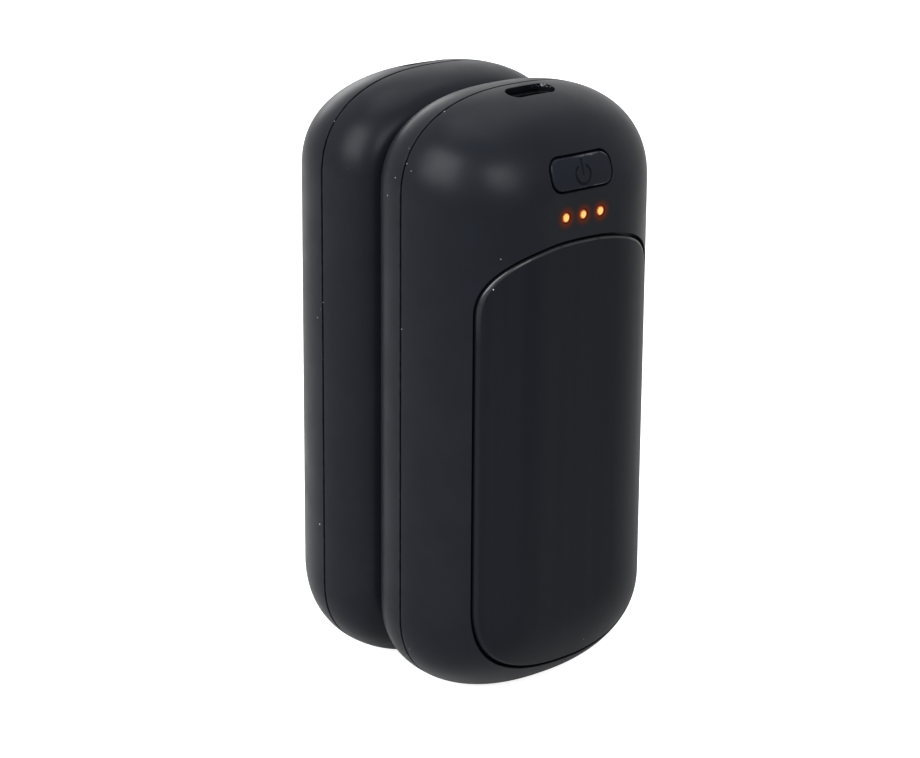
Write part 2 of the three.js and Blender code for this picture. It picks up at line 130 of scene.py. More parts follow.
def bar_outline(half_width, top, bottom, caps, fullnesses):
    """A straight-sided outline with a rounded cap at its top and at its bottom."""
    angle = np.linspace(0, math.pi / 2, QUARTER_STEPS + 1)
    top_x, low_x = (half_width * np.cos(angle) ** (2 / full) for full in fullnesses)
    top_z, low_z = (cap * np.sin(angle) ** (2 / full) for cap, full in zip(caps, fullnesses))
    top_z, low_z = top - caps[0] + top_z, bottom + caps[1] - low_z
    side_z = np.linspace(top_z[0], low_z[0], SIDE_STEPS + 1)[1:-1]
    side_x = np.full(SIDE_STEPS - 1, half_width)
    x = [top_x, -top_x[-2::-1], -side_x, -low_x, low_x[-2::-1], side_x]
    z = [top_z, top_z[-2::-1], side_z, low_z, low_z[-2::-1], side_z[::-1]]
    return np.stack([np.concatenate(x), np.concatenate(z)], -1)


def unit_outline(inset):
    """The unit's outline, drawn in from its widest by an inset."""
    scale = 1 - inset / (WIDTH / 2)
    return bar_outline(
        WIDTH / 2 - inset, HEIGHT - inset * TOP_INSET_SHARE, inset - FOOT_CUT,
        (TOP_CAP * scale, BOTTOM_CAP * scale), (TOP_FULLNESS, BOTTOM_FULLNESS),
    )


def slot_outline(width, height, corner, growth=0.0, edge_steps=8):
    """A rectangle with rounded corners about the origin, grown all round."""
    x, z = width / 2 - corner, height / 2 - corner
    arcs = []
    for number, centre in enumerate([(x, z), (-x, z), (-x, -z), (x, -z)]):
        angle = np.linspace(0, math.pi / 2, CORNER_STEPS + 1) + number * math.pi / 2
        arcs.append(centre + (corner + growth) * np.stack([np.cos(angle), np.sin(angle)], -1))
    points = []
    for arc, following in zip(arcs, arcs[1:] + arcs[:1]):
        points += [arc, np.linspace(arc[-1], following[0], edge_steps + 1)[1:-1]]
    return np.concatenate(points)


def circle_outline(radius, growth=0.0, steps=48):
    """A circle about the origin, grown all round."""
    angle = np.linspace(0, 2 * math.pi, steps, endpoint=False)
    return (radius + growth) * np.stack([np.cos(angle), np.sin(angle)], -1)


print("Points in a unit's outline:", len(unit_outline(0)))

# %% [markdown]
# The front swells from the seam to a flat crest. Its height at a place depends only
# on the inset, the distance in from the outline, and follows the same kind of full
# curve. The plate, the button and the lights all lie in that one surface, so one
# function gives its y anywhere, or the y at a depth under it. The inset of a place
# has no formula, so it is found by halving: is the place inside this outline?

# %% Describe the swelling surfaces
FRONT_ROUND, FRONT_FULLNESS = 16.2, 1.9
BACK_ROUND, BACK_FULLNESS = 7.5, 2.33
HALVINGS = 34
FURTHEST_OUT = -3
SLOPE_STEP = 0.01


def inset_at(x, z):
    """How far in from the unit's outline each place lies."""
    outer, inner = np.full(x.shape, float(FURTHEST_OUT)), np.full(x.shape, WIDTH / 2)
    for _ in range(HALVINGS):
        inset = (outer + inner) / 2
        scale = 1 - inset / (WIDTH / 2)
        up = (z - (HEIGHT - inset * TOP_INSET_SHARE - TOP_CAP * scale)) / (TOP_CAP * scale)
        down = (inset - FOOT_CUT + BOTTOM_CAP * scale - z) / (BOTTOM_CAP * scale)
        fullness = np.where(up > down, TOP_FULLNESS, BOTTOM_FULLNESS)
        rise = np.maximum(np.maximum(up, down), 0)
        across = np.abs(x) / (WIDTH / 2 - inset)
        inside = across ** fullness + rise ** fullness <= 1
        outer, inner = np.where(inside, inset, outer), np.where(inside, inner, inset)
    return outer


def rounded_height(depth, round_width, fullness, inset):
    """The height of a rounded edge above its rim, at an inset from the rim."""
    share = np.clip(inset / round_width, 0, 1)
    return depth * (1 - (1 - share) ** fullness) ** (1 / fullness)


def rounded_inset(depth, round_width, fullness, reached):
    """The inset at which a rounded edge reaches a height."""
    return round_width * (1 - (1 - (reached / depth) ** fullness) ** (1 / fullness))


def front_y(x, z, under=0.0):
    """The y of the front surface, or of the surface a depth under it."""
    inset = inset_at(x, z) - under
    return -rounded_height(FRONT_DEPTH - under, FRONT_ROUND - under, FRONT_FULLNESS, inset)


def surface_normals(points, depth, round_width, fullness, under=0.0):
    """Each point's distance from a swelling surface, and the surface's normal there."""
    x, y, z = points.T
    step = SLOPE_STEP
    depth, round_width, inset = depth - under, round_width - under, inset_at(x, z) - under
    slope_x = (inset_at(x + step, z) - inset_at(x - step, z)) / (2 * step)
    slope_z = (inset_at(x, z + step) - inset_at(x, z - step)) / (2 * step)
    height, left = np.abs(y) / depth, np.clip(1 - inset / round_width, 0, None)
    inward = -fullness * left ** (fullness - 1) / round_width
    outward = fullness * height ** (fullness - 1) / depth * np.sign(y)
    normal = np.stack([inward * slope_x, outward, inward * slope_z], -1)
    steepness = np.linalg.norm(normal, axis=1) + 1e-12
    level = height ** fullness + left ** fullness - 1
    return np.abs(level) / steepness, normal / steepness[:, None]


light_x, light_z = middle_of("led_middle")[:, None]
print(f"Front surface over the middle light: y = {front_y(light_x, light_z)[0]:.2f}")

# %% [markdown]
# Every form here is a loft: a stack of rings, joined ring to ring and closed with a
# fan at each end. A shell is one loft too, if the rings run over the outside, round
# the rim and back along the inside. Modelling by hand with a subdivision surface is
# the usual way, but a loft from a formula lies exactly in the CAD surface. Openings
# are then cut with the Boolean modifier, whose Manifold solver is quick and keeps
# a mesh closed.

# %% Join rings into solids, and cut one solid with another
def on_level(outline, y):
    """An outline's points at one y."""
    return np.stack([outline[:, 0], np.full(len(outline), y), outline[:, 1]], -1)


def on_front(outline, under):
    """An outline's points in the front surface, or a depth under it."""
    x, z = outline.T
    return np.stack([x, front_y(x, z, under), z], -1)


def along(outline_of, pairs, deeper=0.0):
    """Rings in the front surface, from (growth, under) pairs and an extra depth."""
    return [on_front(outline_of(growth), deeper + under) for growth, under in pairs]


def loft(name, rings):
    """A closed solid over rings, the first of which faces out."""
    rings = np.array(rings)
    count, around = rings.shape[:2]
    points = np.concatenate([[rings[0].mean(0)], rings.reshape(-1, 3), [rings[-1].mean(0)]])
    last, faces = len(points) - 1, []
    for i in range(around):
        j = (i + 1) % around
        faces.append((0, 1 + i, 1 + j))
        for start in range(1, last - around, around):
            faces.append((start + i, start + i + around, start + j + around, start + j))
        faces.append((last, last - around + j, last - around + i))
    mesh = bpy.data.meshes.new(name)
    mesh.from_pydata(points.tolist(), [], faces)
    made = bpy.data.objects.new(name, mesh)
    bpy.context.scene.collection.objects.link(made)
    return made


def combine(piece, tool, operation="DIFFERENCE"):
    """Cuts a tool out of a piece, or joins it on, and deletes the tool."""
    modifier = piece.modifiers.new(operation.lower(), "BOOLEAN")
    modifier.operation, modifier.solver, modifier.object = operation, "MANIFOLD", tool
    evaluated = piece.evaluated_get(bpy.context.evaluated_depsgraph_get())
    old, piece.data = piece.data, bpy.data.meshes.new_from_object(evaluated)
    piece.modifiers.clear()
    bpy.data.meshes.remove(old)
    bpy.data.meshes.remove(tool.data)
    return piece


def rod(name, radius, y_front, y_back, x, z):
    """A round bar along Y, for posts, bores and pins."""
    outline = circle_outline(radius) + (x, z)
    return loft(name, [on_level(outline, y_front), on_level(outline, y_back)])


print("Points in a round ring:", len(circle_outline(1)))

# %% [markdown]
# The front shell is an injection moulding of even wall. Its rim has a small round,
# a land, and a rebate that the cover's tongue enters. The profile below lists those
# corners as pairs of inset and y, from the crest outside to the crest inside.

# %% Loft the front shell
WALL = 2.2
RIM_ROUND = 0.1
LIP_WALL = 1.2
TONGUE_DEPTH = 1.3
CLEARANCE = 0.3
PROFILE_STEPS = 52
ROUND_STEPS = 5


def swelling(depth, round_width, fullness, start):
    """(inset, height) pairs up a rounded edge, from a starting height to its crest."""
    angle = np.linspace(0, math.pi / 2, PROFILE_STEPS + 1)[1:]
    inset = round_width * (1 - np.cos(angle) ** (2 / fullness))
    height = depth * np.sin(angle) ** (2 / fullness)
    first = (rounded_inset(depth, round_width, fullness, start), start)
    return [first] + [pair for pair in zip(inset, height) if pair[1] > start * 1.02]


def rim_round(inset, height):
    """(inset, height) pairs round a rim's edge, from its land to its outside."""
    angle = np.linspace(math.pi / 2, 0, ROUND_STEPS + 1)[:-1]
    across = inset + RIM_ROUND * (1 - np.cos(angle))
    return list(zip(across, height - RIM_ROUND * np.sin(angle)))


rim_height = SEAM_GAP / 2 + RIM_ROUND
outside = swelling(FRONT_DEPTH, FRONT_ROUND, FRONT_FULLNESS, rim_height)
rebate = SEAM_GAP / 2 + TONGUE_DEPTH + CLEARANCE
inside = swelling(FRONT_DEPTH - WALL, FRONT_ROUND - WALL, FRONT_FULLNESS, rebate)
shell_profile = [
    *outside[::-1], *rim_round(outside[0][0], rim_height)[::-1],
    (LIP_WALL, SEAM_GAP / 2), (LIP_WALL, rebate),
    *((WALL + inset, height) for inset, height in inside),
]
shell = loft("shell_form", [on_level(unit_outline(inset), -height) for inset, height in shell_profile])
print("Shell before its cuts:", len(shell.data.vertices), "points")

# %% [markdown]
# The shell's openings are the plate's seat and window, the button hole, three light
# holes and the charging port. A moulded edge is never sharp, so each cutter flares at
# its mouth, which leaves a small round on the edge it cuts. The cutter's rings lie
# in the front surface itself, so a mouth keeps its width as the surface curves away.

# %% Make cutters with a rounded mouth
PLATE_CAPS, PLATE_FULLNESSES = (10.9, 12.8), (2.47, 2.45)
PLATE_GROOVE = 0.45
PLATE_LEDGE = 2
PLATE_THICKNESS = 1
BUTTON_SIZE = (12.2, 4.9, 1.8)
BUTTON_GAP = 0.35
LIGHT_RADIUS = 0.75
LIGHT_GAP = 0.2
SEAT_MOUTH = 0.15
MOUTH_START = 15
MOUTH_CLEAR = 0.1
OVERRUN = 1.0
FAR_FRONT = -FRONT_DEPTH - OVERRUN

plate_middle = np.array([0, middle_of("heat_plate")[1]])
BUTTON_Z = middle_of("power_button")[1]
light_places = [middle_of(f"led_{side}") for side in ("left", "middle", "right")]


def plate_outline(growth=0.0):
    """The heat plate's outline, grown all round."""
    half_width = plate_high[0] + growth
    scale = half_width / plate_high[0]
    caps = [cap * scale for cap in PLATE_CAPS]
    top, bottom = plate_high[2] + growth, plate_low[2] - growth
    return bar_outline(half_width, top, bottom, caps, PLATE_FULLNESSES)


def button_outline(growth=0.0):
    """The power button's outline, grown all round."""
    return slot_outline(*BUTTON_SIZE, growth) + (0, BUTTON_Z)


def mouth(radius):
    """(growth, under) pairs round a hole's mouth, from above the surface to the wall."""
    angle = np.radians(np.linspace(MOUTH_START, 90, ROUND_STEPS + 1))
    growth, under = radius * (1 - np.sin(angle)), radius * (1 - np.cos(angle))
    flare = growth[0] + (under[0] + MOUTH_CLEAR) / math.tan(angle[0])
    return [(flare, -MOUTH_CLEAR), *zip(growth, under)]


def well(outline_of, depth, radius):
    """Rings of a cutter for a hole of some depth under the front surface."""
    profile = [*mouth(radius), (0, depth)]
    return [on_level(outline_of(profile[0][0]), FAR_FRONT), *along(outline_of, profile)]


def shrink(outline, share, middle):
    """An outline drawn in towards its middle."""
    return middle + (outline - middle) * share


print("A plate seat's mouth, as (growth, under):", np.round(mouth(SEAT_MOUTH), 3).tolist())

# %% [markdown]
# The plate sits in a shallow seat with a narrow groove all round, over a window that
# lets its heat through. A seat has a floor, so its cutter ends in a few rings that
# draw in along the floor. The button and the lights only need plain holes.

# %% Cut the plate's seat, the button hole and the light holes
BUTTON_MOUTH, LIGHT_MOUTH = 0.2, 0.08
SEAT_SHARES = (0.95, 0.9, 0.86)
HOLE_DEPTH = WALL + OVERRUN
seat_depth = PLATE_THICKNESS + CLEARANCE
seat_edge = plate_outline(PLATE_GROOVE)
seat = well(lambda growth: plate_outline(PLATE_GROOVE + growth), seat_depth, SEAT_MOUTH)
seat += [on_front(shrink(seat_edge, share, plate_middle), seat_depth) for share in SEAT_SHARES]
combine(shell, loft("seat", seat))

window = shrink(plate_outline(), 1 - PLATE_LEDGE / plate_high[0], plate_middle)
combine(shell, loft("window", [on_level(window, FAR_FRONT), on_front(window, HOLE_DEPTH)]))

button_hole = well(lambda growth: button_outline(BUTTON_GAP + growth), HOLE_DEPTH, BUTTON_MOUTH)
combine(shell, loft("button_hole", button_hole))
for place in light_places:
    light_hole = well(
        lambda growth: circle_outline(LIGHT_RADIUS + LIGHT_GAP, growth) + place, HOLE_DEPTH, LIGHT_MOUTH,
    )
    combine(shell, loft("light_hole", light_hole))
print("Shell after its front openings:", len(shell.data.vertices), "points")

# %% [markdown]
# The charging port opens in the rounded top, close to the seam. Its cutter goes down
# along Z, so its mouth follows the height of the top surface instead. The port's walls
# get a painted shade and painted glints of their own later, so a rule that picks their
# faces is written here. The foot is cut flat where the unit stands, and two posts take
# the board's screws.

# %% Cut the port and the foot, and add the posts
PORT_MOUTH = 0.15
PORT_SIZE = (9.3, 3.4, 1.7)
PORT_SKIN = 0.05
POST_RADIUS, BORE_RADIUS = 2.3, 1.05
sleeve_low, sleeve_high = corners_of("usb_sleeve")
board_front = corners_of("circuit_board")[0][1]
screw_front = corners_of("board_screw_right")[0][1]
screw_x, screw_z = middle_of("board_screw_right")
PORT_Y = (sleeve_low[1] + sleeve_high[1]) / 2


def top_z(x, y):
    """The height of the shell's top at a place in X and Y."""
    depth = np.clip(-y, 0, None)
    inset = rounded_inset(FRONT_DEPTH, FRONT_ROUND, FRONT_FULLNESS, depth)
    scale = 1 - inset / (WIDTH / 2)
    across = np.abs(x) / (WIDTH / 2 - inset)
    fall = 1 - (1 - across ** TOP_FULLNESS) ** (1 / TOP_FULLNESS)
    return HEIGHT - inset * TOP_INSET_SHARE - TOP_CAP * scale * fall


def port_ring(growth, z=None, under=0.0):
    """A ring of the port, at one height or at a depth under the shell's top."""
    x, y = slot_outline(*PORT_SIZE, growth).T
    y = y + PORT_Y
    z = top_z(x, y) - under if z is None else np.full(len(x), float(z))
    return np.stack([x, y, z], -1)


port = [port_ring(mouth(PORT_MOUTH)[0][0], z=HEIGHT + OVERRUN)]
port += [port_ring(growth, under=under) for growth, under in mouth(PORT_MOUTH)]
port += [port_ring(0, z=sleeve_low[2])]
combine(shell, loft("port", port))


def in_port(x, y, z):
    """1 for the faces of the port's walls, by their middles, and 0 for the rest."""
    reach_x, reach_y = PORT_SIZE[0] / 2 + PORT_MOUTH, PORT_SIZE[1] / 2 + PORT_MOUTH
    inside = (np.abs(x) < reach_x) & (np.abs(y - PORT_Y) < reach_y) & (z > sleeve_low[2])
    return inside & (z < top_z(x, y) - PORT_SKIN)


def under_foot():
    """Everything under the foot, cut off flat so that the unit stands."""
    block = slot_outline(2 * WIDTH, 2 * BOTTOM_CAP, OVERRUN) - (0, BOTTOM_CAP)
    return loft("foot", [on_level(block, FAR_FRONT), on_level(block, BACK_DEPTH + OVERRUN)])


for x in (-screw_x, screw_x):
    outline = circle_outline(POST_RADIUS) + (x, screw_z)
    post = loft("post", [on_front(outline, WALL / 2), on_level(outline, board_front)])
    combine(shell, post, "UNION")
    bore = rod("bore", BORE_RADIUS, screw_front - CLEARANCE, board_front + OVERRUN, x, screw_z)
    combine(shell, bore)
combine(shell, under_foot())
print("Finished shell:", len(shell.data.vertices), "points")

# %% [markdown]
# The back cover is the shallow half. Its side rolls over into a flat back, and the two
# units' flat backs meet. Its wall is even, so the hollow follows the outside. Its rim
# carries the tongue that enters the shell's rebate, notched where the port passes.

# %% Loft the back cover
BACK_WALL = 1.6
MAGNET_POCKET = 0.8
TONGUE_CHAMFER = 0.2
back_floor = BACK_DEPTH - BACK_WALL
magnet_radius = np.ptp(corners_of("magnet_low"), 0)[0] / 2
back_outside = swelling(BACK_DEPTH, BACK_ROUND, BACK_FULLNESS, rim_height)
tongue = LIP_WALL + CLEARANCE
tongue_front = -SEAM_GAP / 2 - TONGUE_DEPTH
hollow = swelling(back_floor, BACK_ROUND - WALL, BACK_FULLNESS, 0)
cover_profile = [
    *((WALL + inset, y) for inset, y in hollow[::-1]),
    (WALL, tongue_front), (tongue + TONGUE_CHAMFER, tongue_front),
    (tongue, tongue_front + TONGUE_CHAMFER), (tongue, SEAM_GAP / 2),
    *rim_round(back_outside[0][0], rim_height), *back_outside,
]
cover = loft("cover_form", [on_level(unit_outline(inset), y) for inset, y in cover_profile])
notch = [port_ring(CLEARANCE, z=HEIGHT - LIP_WALL), port_ring(CLEARANCE, z=sleeve_low[2])]
combine(cover, loft("notch", notch))
for magnet in ("magnet_low", "magnet_high"):
    pocket = (magnet_radius + CLEARANCE, 0, back_floor + MAGNET_POCKET, *middle_of(magnet))
    combine(cover, rod("pocket", *pocket))
combine(cover, under_foot())
print("Finished cover:", len(cover.data.vertices), "points")

# %% [markdown]
# The heat plate is a separate pressing that carries the swelling surface on, flush
# with the shell. Light catches its rounded edge beside the dark groove, so that edge
# is modelled, not painted. Rings shrink towards the middle to carry the curve. A rule
# picks the edge's faces, for polish from handling and, towards the top, a paler colour
# that is partly wear and partly a painted highlight.

# %% Loft the heat plate
PLATE_EDGE = 0.4
PLATE_RINGS = 26
EDGE_REACH = 0.7


def rounding(radius):
    """(growth, under) pairs round a convex edge, from the face to the side."""
    angle = np.linspace(0, math.pi / 2, ROUND_STEPS + 1)
    return list(zip(radius * (np.sin(angle) - 1), radius * (1 - np.cos(angle))))


def field(outline, middle, under, count):
    """Rings from near the middle out to an outline, all at one depth under the front."""
    shares = np.linspace(0, 1, count + 1)[1:]
    return [on_front(shrink(outline, share, middle), under) for share in shares]


plate_rings = field(plate_outline(-PLATE_EDGE), plate_middle, 0, PLATE_RINGS)
plate_rings += along(plate_outline, rounding(PLATE_EDGE)[1:])
plate_rings += field(plate_outline(), plate_middle, PLATE_THICKNESS, PLATE_RINGS // 2)[::-1]
plate = loft("plate_form", plate_rings)
print("Heat plate:", len(plate.data.vertices), "points")


def on_plate(x, y, z):
    """1 for the faces of the plate's rounded edge, by their middles, and 0 for the rest."""
    edge = plate_outline(-PLATE_EDGE / 2)
    edge_x, edge_z = ((edge + np.roll(edge, 1, 0)) / 2).T
    away = np.hypot(x[:, None] - edge_x, z[:, None] - edge_z).min(1)
    return (away < PLATE_EDGE * EDGE_REACH) & (y - front_y(x, z) < PLATE_EDGE)


# %% [markdown]
# The power button is a cap that stands in its hole on a wider flange, with a stem
# behind it that reaches the switch. The power symbol is a standard sign, an open ring
# with a bar, cut into its face. The groove is swept with a round tool, which is how
# an engraver's ball cutter would leave it: a tube along the line, cut out of the cap.
# Another rule tells the symbol's faces and the rounded edge's from the plain ones.

# %% Loft the button and engrave its symbol
BUTTON_UNDER = -0.13
BUTTON_EDGE = 0.28
BUTTON_RINGS = 12
FLANGE_WIDTH, FLANGE_THICKNESS = 0.8, 0.7
STEM_RADIUS = 1.5
SYMBOL_RADIUS, SYMBOL_LINE, SYMBOL_DEPTH = 1.5, 0.52, 0.15
SYMBOL_BAR = (-0.2, 1.88)
SYMBOL_SINK = 0.3
SYMBOL_FLOOR = 0.01
SYMBOL_OPENING = math.radians(36)
SYMBOL_REACH = SYMBOL_RADIUS + 1.5 * SYMBOL_LINE
RING_STEPS, BAR_STEPS = 40, 9
TOOL_SIDES, TOOL_END_STEPS = 16, 5


def sweep(name, path, radius, depth_under):
    """A round-ended tube just under the button's face, along a path in X and Z."""
    x, z = path.T
    centres = np.stack([x, front_y(x, z, depth_under), z], -1)
    ahead = np.gradient(centres, axis=0)
    ahead /= np.linalg.norm(ahead, axis=1)[:, None]
    side = np.cross(ahead, (0, 1, 0))
    side /= np.linalg.norm(side, axis=1)[:, None]
    over = np.cross(side, ahead)
    turn = np.linspace(0, 2 * math.pi, TOOL_SIDES, endpoint=False)[:, None]
    end_turn = np.linspace(0, math.pi / 2, TOOL_END_STEPS)[1:]
    stations = [(0, -radius * math.cos(t), radius * math.sin(t)) for t in end_turn]
    stations += [(k, 0, radius) for k in range(1, len(path) - 1)]
    stations += [(-1, radius * math.cos(t), radius * math.sin(t)) for t in end_turn[::-1]]
    rings = [
        centres[k] + ahead[k] * past + size * (np.cos(turn) * side[k] + np.sin(turn) * over[k])
        for k, past, size in stations
    ]
    return loft(name, rings)


button_middle = np.array([0, BUTTON_Z])
flange_front = WALL + CLEARANCE
flange = BUTTON_GAP + FLANGE_WIDTH
flange_back = flange_front + FLANGE_THICKNESS
button_rings = field(button_outline(-BUTTON_EDGE), button_middle, BUTTON_UNDER, BUTTON_RINGS)
button_rings += along(button_outline, rounding(BUTTON_EDGE)[1:], BUTTON_UNDER)
flange_steps = [(0, flange_front), (flange, flange_front), (flange, flange_back)]
button_rings += along(button_outline, flange_steps)
button_rings += field(button_outline(0), button_middle, flange_back, 2)[::-1]
button = loft("button_form", button_rings)
stem_start = front_y(np.zeros(1), np.array([BUTTON_Z]), flange_front)[0]
stem_end = corners_of("power_button")[1][1]
combine(button, rod("stem", STEM_RADIUS, stem_start, stem_end, 0, BUTTON_Z), "UNION")

angle = np.linspace(math.pi / 2 + SYMBOL_OPENING, 2.5 * math.pi - SYMBOL_OPENING, RING_STEPS)
ring = SYMBOL_RADIUS * np.stack([np.cos(angle), np.sin(angle)], -1)
bar = np.stack([np.zeros(BAR_STEPS), np.linspace(*SYMBOL_BAR, BAR_STEPS) + SYMBOL_SINK], -1)
tool_depth = BUTTON_UNDER + SYMBOL_DEPTH - SYMBOL_LINE / 2
for path in (ring, bar):
    path = path + button_middle - (0, SYMBOL_SINK)
    combine(button, sweep("engraver", path, SYMBOL_LINE / 2, tool_depth))
print("Button:", len(button.data.vertices), "points")


def on_button(x, y, z):
    """Each face's part of the button, by its middle: 0 plain, 1 symbol, 2 rounded edge."""
    under_face = y - front_y(x, z, BUTTON_UNDER)
    near = np.hypot(x, z - BUTTON_Z) < SYMBOL_REACH
    low = (under_face > SYMBOL_FLOOR) & (under_face < BUTTON_EDGE)
    return np.where(low, np.where(near, 1, 2), 0)


# %% [markdown]
# The three lights are the ends of one clear moulding, which leads light from the LEDs
# on the board out through the shell. Each end is a low dome, so that it can be seen
# from the side too. The bar that joins the pins is all that keeps them from falling out.

# %% Loft the light guide
DOME = 0.14
DOME_SHARES = (0.15, 0.4, 0.65, 0.85, 1)
GUIDE_BAR_THICKNESS, GUIDE_BAR_FROM_BOARD, GUIDE_BAR_CORNER = 1.2, 2.7, 0.6
guide_size = np.ptp(corners_of("light_guide"), 0)[[0, 2]]
guide_back = corners_of("light_guide")[1][1]
outline = slot_outline(*guide_size, GUIDE_BAR_CORNER) + light_places[1]
bar_back = board_front - GUIDE_BAR_FROM_BOARD
bar_levels = (bar_back - GUIDE_BAR_THICKNESS, bar_back)
guide = loft("guide_form", [on_level(outline, level) for level in bar_levels])
for place in light_places:
    dome = [
        on_front(circle_outline(LIGHT_RADIUS * share) + place, DOME * share ** 2)
        for share in DOME_SHARES
    ]
    pin_end = on_level(circle_outline(LIGHT_RADIUS) + place, guide_back)
    combine(guide, loft("pin", [*dome, pin_end]), "UNION")
print("Light guide:", len(guide.data.vertices), "points")

# %% [markdown]
# The charging socket is a folded steel sleeve round a thin black tongue. It lies deep
# in the port and is plated dark, a dark that also paints in the shade deep in the port,
# so little of it shows from outside. Both pieces are lofts along Z, from the top down,
# and the sleeve's lip is a half round.

# %% Loft the charging socket
SLEEVE_CORNER, SLEEVE_SKIN = 1.55, 0.3
TONGUE_BLADE = (6.7, 0.7, 0.35)
TONGUE_BASE_HEIGHT = 1.4
TONGUE_GAP = 0.2
sleeve_size = (*(sleeve_high - sleeve_low)[:2], SLEEVE_CORNER)
blade_low, blade_high = corners_of("usb_tongue")


def socket_ring(size, growth, z):
    """A level ring of the socket, round the port's middle."""
    x, y = slot_outline(*size, growth).T
    return np.stack([x, y + PORT_Y, np.full(len(x), z)], -1)


lip = SLEEVE_SKIN / 2
lip_turn = np.linspace(-math.pi / 2, math.pi / 2, 2 * ROUND_STEPS + 1)
sleeve_rings = [socket_ring(sleeve_size, -SLEEVE_SKIN, sleeve_low[2] + SLEEVE_SKIN)]
sleeve_rings += [
    socket_ring(sleeve_size, lip * (math.sin(turn) - 1), sleeve_high[2] + lip * (math.cos(turn) - 1))
    for turn in lip_turn
]
sleeve_rings += [socket_ring(sleeve_size, 0, sleeve_low[2])]
sleeve = loft("sleeve_form", sleeve_rings)

blade_round = TONGUE_BLADE[1] / 4
tongue_rings = [
    socket_ring(TONGUE_BLADE, growth, blade_high[2] - under) for growth, under in rounding(blade_round)
]
tongue_top = blade_low[2] + TONGUE_BASE_HEIGHT
tongue_rings += [socket_ring(TONGUE_BLADE, 0, tongue_top)]
tongue_rings += [
    socket_ring(sleeve_size, -SLEEVE_SKIN - TONGUE_GAP, z) for z in (tongue_top, blade_low[2])
]
socket_tongue = loft("tongue_form", tongue_rings)
print("Socket:", len(sleeve.data.vertices) + len(socket_tongue.data.vertices), "points")

# %% [markdown]
# Behind the plate, a foam pad presses the heating film against it. It is a soft piece,
# so its edges are rounded over. It has a notch for the thermistor, the small sensor
# that reads the plate's warmth.

# %% Loft the foam pad
FOAM_EDGE = 0.4
FILM_THICKNESS = 0.3
FOAM_RINGS = 8
foam_under = seat_depth + FILM_THICKNESS + CLEARANCE
foam_back = corners_of("foam_pad")[1][1]
foam_share = 1 - (PLATE_LEDGE + CLEARANCE) / plate_high[0]


def foam_outline(growth=0.0):
    """The foam pad's outline, grown all round."""
    return shrink(plate_outline(), foam_share + growth / plate_high[0], plate_middle)


foam_rings = field(foam_outline(-FOAM_EDGE), plate_middle, foam_under, FOAM_RINGS)
foam_rings += along(foam_outline, rounding(FOAM_EDGE)[1:], foam_under)
foam_rings += [
    on_level(foam_outline(growth), foam_back - under) for growth, under in rounding(FOAM_EDGE)[::-1]
]
foam = loft("foam_form", foam_rings)
notch_size = np.ptp(corners_of("thermistor"), 0)[[0, 2]] + 2 * CLEARANCE
notch_back = corners_of("thermistor")[1][1] + CLEARANCE
outline = slot_outline(*notch_size, CLEARANCE) + middle_of("thermistor")
combine(foam, loft("notch", [on_level(outline, FAR_FRONT), on_level(outline, notch_back)]))
print("Foam pad:", len(foam.data.vertices), "points")

# %% [markdown]
# Materials come next, and they are trees of nodes. A few helpers keep their code
# readable: one adds a node with its inputs, and the others wrap the nodes used most.
# All patterns are laid out in millimetres in the object's own space, so they stay on
# a piece when it moves.

# %% Start the node helpers
def node(tree, kind, inputs=None, **settings):
    """Adds a node, with its settings and with its inputs' values or links."""
    made = tree.nodes.new(f"ShaderNode{kind}")
    for name, value in settings.items():
        setattr(made, name, value)
    for name, value in (inputs or {}).items():
        if isinstance(value, bpy.types.NodeSocket):
            tree.links.new(value, made.inputs[name])
        else:
            made.inputs[name].default_value = value
    return made


def maths(tree, operation, *values):
    """A Math node's result. Each value is a number or a socket."""
    return node(tree, "Math", dict(enumerate(values)), operation=operation).outputs[0]


def times(tree, first, second):
    """Two values multiplied."""
    return maths(tree, "MULTIPLY", first, second)


def ramp(tree, value, low, high, to_low=0.0, to_high=1.0):
    """A value mapped smoothly from one range to another, and held at its ends."""
    inputs = {"Value": value, "From Min": low, "From Max": high, "To Min": to_low, "To Max": to_high}
    return node(tree, "MapRange", inputs, interpolation_type="SMOOTHSTEP").outputs[0]


def blend_colours(tree, factor, first, second):
    """Two colours mixed by a factor. Each is a colour or a socket."""
    mix = node(tree, "Mix", data_type="RGBA")
    sockets = {0: factor, 6: first, 7: second}
    for number, value in sockets.items():
        if isinstance(value, bpy.types.NodeSocket):
            tree.links.new(value, mix.inputs[number])
        else:
            mix.inputs[number].default_value = value
    return mix.outputs[2]


def place_in_mm(tree):
    """The place on the piece, in millimetres."""
    inputs = {0: node(tree, "TexCoord").outputs["Object"], 1: (1 / MM, 1 / MM, 1 / MM)}
    return node(tree, "VectorMath", inputs, operation="MULTIPLY").outputs[0]


def axes(tree, place):
    """A place's X, Y and Z."""
    return node(tree, "SeparateXYZ", {0: place}).outputs


def noise(tree, place, scale, detail=2.0, stretch=None, turn=(0, 0, 0), **inputs):
    """A cloudy noise, drawn out along the axes whose stretch is small."""
    if stretch:
        place = node(tree, "Mapping", {"Vector": place, "Rotation": turn, "Scale": stretch}).outputs[0]
    inputs = {"Vector": place, "Scale": scale, "Detail": detail, **inputs}
    return node(tree, "TexNoise", inputs).outputs["Fac"]


print("Node helpers are ready")

# %% [markdown]
# Several materials share the same effects: grain, dust, handling marks and the light
# that soaks out round the lights. Each effect is a shader node group, built once with
# named inputs and outputs, and placed in each material with its own values.

# %% Start and use node groups
def start_group(name, inputs, outputs):
    """A new node group with float sockets. Gives the tree and its two ends."""
    tree = bpy.data.node_groups.new(name, "ShaderNodeTree")
    for label, value in inputs.items():
        socket = tree.interface.new_socket(name=label, in_out="INPUT", socket_type="NodeSocketFloat")
        socket.default_value = value
    for label in outputs:
        tree.interface.new_socket(name=label, in_out="OUTPUT", socket_type="NodeSocketFloat")
    return tree, tree.nodes.new("NodeGroupInput"), tree.nodes.new("NodeGroupOutput")


